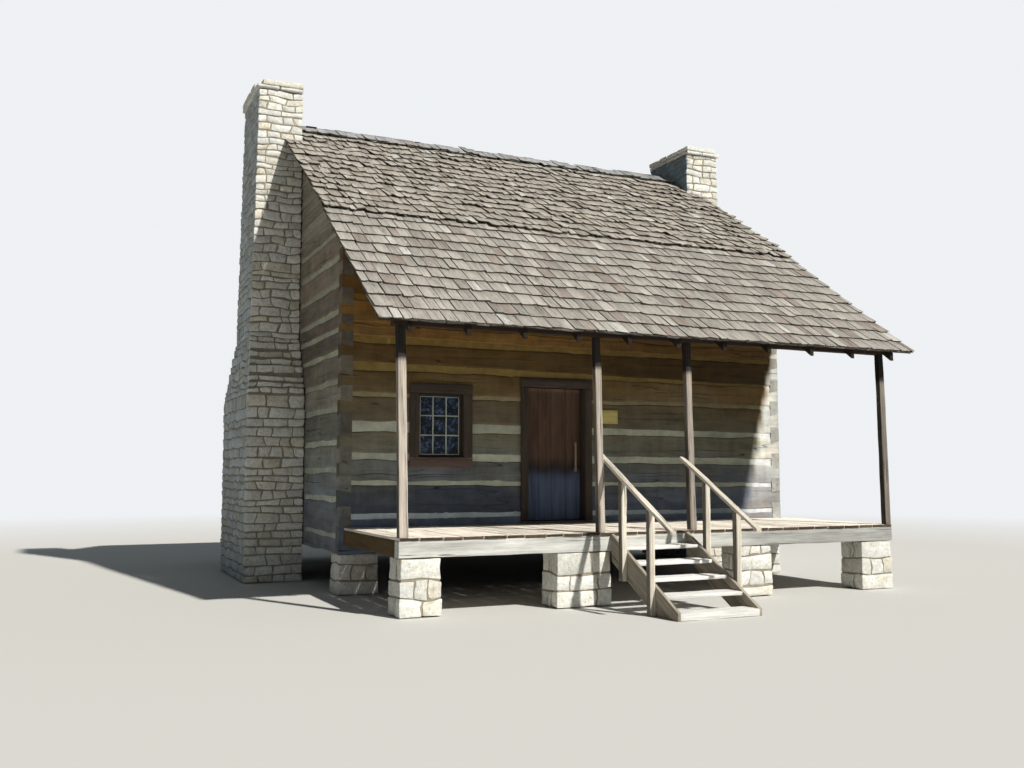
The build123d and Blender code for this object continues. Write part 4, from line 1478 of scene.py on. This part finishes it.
def window_bars():
    """Pale beads round the opening and muntins between its nine lights."""
    pile = Pile(91)
    front = sash_low[1] + 0.004
    back = glass_low[1] + 0.001
    x0, x1 = glass_low[0], glass_high[0]
    z0, z1 = glass_low[2], glass_high[2]

    def bar(left, right, bottom, top, axis, proud=0.0):
        low = (left, front - proud, bottom)
        tint = bead_pale * pile.draw.uniform(0.88, 1.05)
        add_board(pile, low, (right, back, top), axis, tint, 0.05, 0.01, 0.003, 0.0008)

    bar(x0, x0 + bead_width, z0, z1, 2)
    bar(x1 - bead_width, x1, z0, z1, 2)
    bar(x0, x1, z0, z0 + bead_width, 0)
    bar(x0, x1, z1 - bead_width, z1, 0)
    for number in range(1, light_count):
        x = x0 + (x1 - x0) * number / light_count
        z = z0 + (z1 - z0) * number / light_count
        bar(x - muntin_width / 2, x + muntin_width / 2, z0, z1, 2, muntin_proud)
        bar(x0, x1, z - muntin_width / 2, z + muntin_width / 2, 0)
    pile.piece("window_bars", plank_wood, "sash_wood")


def window_panes():
    """Nine separate panes, each a little out of flat."""
    pile = Pile(92)
    size = (glass_high - glass_low) / (light_count, 1, light_count)
    points, quads = lattice(6, 1, 6)
    for i in range(light_count):
        for k in range(light_count):
            placed = glass_low + (points + (i, 0, k)) * size
            tilt = pile.draw.normal(0, 0.004, 2)
            placed[:, 1] += (points[:, 0] - 0.5) * tilt[0] + (points[:, 2] - 0.5) * tilt[1]
            placed[:, 1] += 0.0006 * swell(placed, 0.09, pile.seed())
            pile.add(placed, quads, placed, pane_dark, (0.6, 1.3), moved=False)
    pile.piece("window_panes", glass, "window_pane", ["window_glass"])


door_clear = (
    leaf_low[0] - door_gap, leaf_high[0] + door_gap, leaf_low[2] - door_gap, leaf_high[2] + door_gap
)
window_clear = (sash_low[0] - 0.003, sash_high[0] + 0.003, sash_low[2], sash_high[2] + 0.003)
frame_boards("door_frame", door_clear, lining=0.050, casing=0.115, seed=84)
frame_boards("window_frame", window_clear, lining=0.060, casing=0.130, seed=94)
worn(
    "window_sash", casing_red * 0.6, stained_wood, "frame_boards", 0.05, 0.02, 0.002, 0.0008,
    ending="_frame", vary=0.03,
)
window_bars()
window_panes()
weathered("wall_plaque", board_tan, 0.03, 0.03, 0.003, 0.001).piece(
    "wall_board", plank_wood, "board", ["wall_plaque"]
)


# Floor of the studio, light and camera

backdrop = (0.86, 0.88, 0.90, 1)
ground_grey = (0.55, 0.54, 0.51, 1)
sky_blue = (0.80, 0.91, 1.0, 1)
floor_radius = 60
fade_start = 11.0
fade_end = 26.0
sunward = Vector((0.459, -1.0, 1.11))


def studio_floor():
    """A wide round floor that fades into the backdrop away from the cabin."""
    count = 96
    turns = [2 * math.pi * i / count for i in range(count)]
    ring = [(floor_radius * math.cos(t), floor_radius * math.sin(t), -0.002) for t in turns]
    mesh = bpy.data.meshes.new("studio_floor")
    mesh.from_pydata(ring, [], [list(range(count))])
    look = Graph(bpy.data.materials.new("studio_floor"))
    ground = look.tree.nodes["Principled BSDF"]
    look.put(ground.inputs["Base Color"], ground_grey)
    look.put(ground.inputs["Roughness"], 0.9)
    look.put(ground.inputs["Specular IOR Level"], 0.1)
    place = look.make("TexCoord", {}, "Object")
    distance = look.make("VectorMath", {0: place}, "Value", operation="LENGTH")
    far = look.range(distance, fade_start, fade_end, 0.0, 1.0)
    seen = look.make("LightPath", {}, "Is Camera Ray")
    glow = look.make("Emission", {"Color": backdrop})
    look.cover(look.math("MULTIPLY", far, seen), ground.outputs[0], glow, "Material Output")
    mesh.materials.append(look.owner)
    floor = bpy.data.objects.new("studio_floor", mesh)
    link(floor)


def sun():
    """A soft sun high in front on the right."""
    light = bpy.data.lights.new("soft_sun", "SUN")
    light.energy = 5.0
    light.angle = math.radians(1.5)
    light.color = (1.0, 0.97, 0.92)
    lamp = bpy.data.objects.new("soft_sun", light)
    lamp.rotation_mode = "QUATERNION"
    lamp.rotation_quaternion = sunward.to_track_quat("Z", "Y")
    link(lamp)


def sky():
    """Blue fill light, stronger from the right; the camera sees the plain backdrop."""
    world = bpy.data.worlds.new("studio")
    bpy.context.scene.world = world
    look = Graph(world)
    fill = look.tree.nodes["Background"]
    way = look.make("TexCoord", {}, "Generated")
    toward_right = look.make("SeparateXYZ", {0: way})
    look.put(fill.inputs["Color"], sky_blue)
    look.put(fill.inputs["Strength"], look.range(toward_right, -0.9, 0.9, 0.10, 0.34))
    seen = look.make("LightPath", {}, "Is Camera Ray")
    plain = look.make("Background", {"Color": backdrop, "Strength": 1.0})
    look.cover(seen, fill.outputs[0], plain, "World Output")


def photo_camera():
    """The photo's viewpoint: in front on the left, at eye height."""
    lens = bpy.data.cameras.new("camera")
    lens.lens = 35.693
    lens.sensor_width = 36
    lens.clip_end = 300
    camera = bpy.data.objects.new("camera", lens)
    camera.location = (-7.099, -14.455, 1.615)
    camera.rotation_euler = (math.radians(94.906), 0, -math.radians(24.602))
    link(camera)
    bpy.context.scene.camera = camera
    bpy.context.scene.view_settings.view_transform = "Standard"


studio_floor()
sun()
sky()
photo_camera()
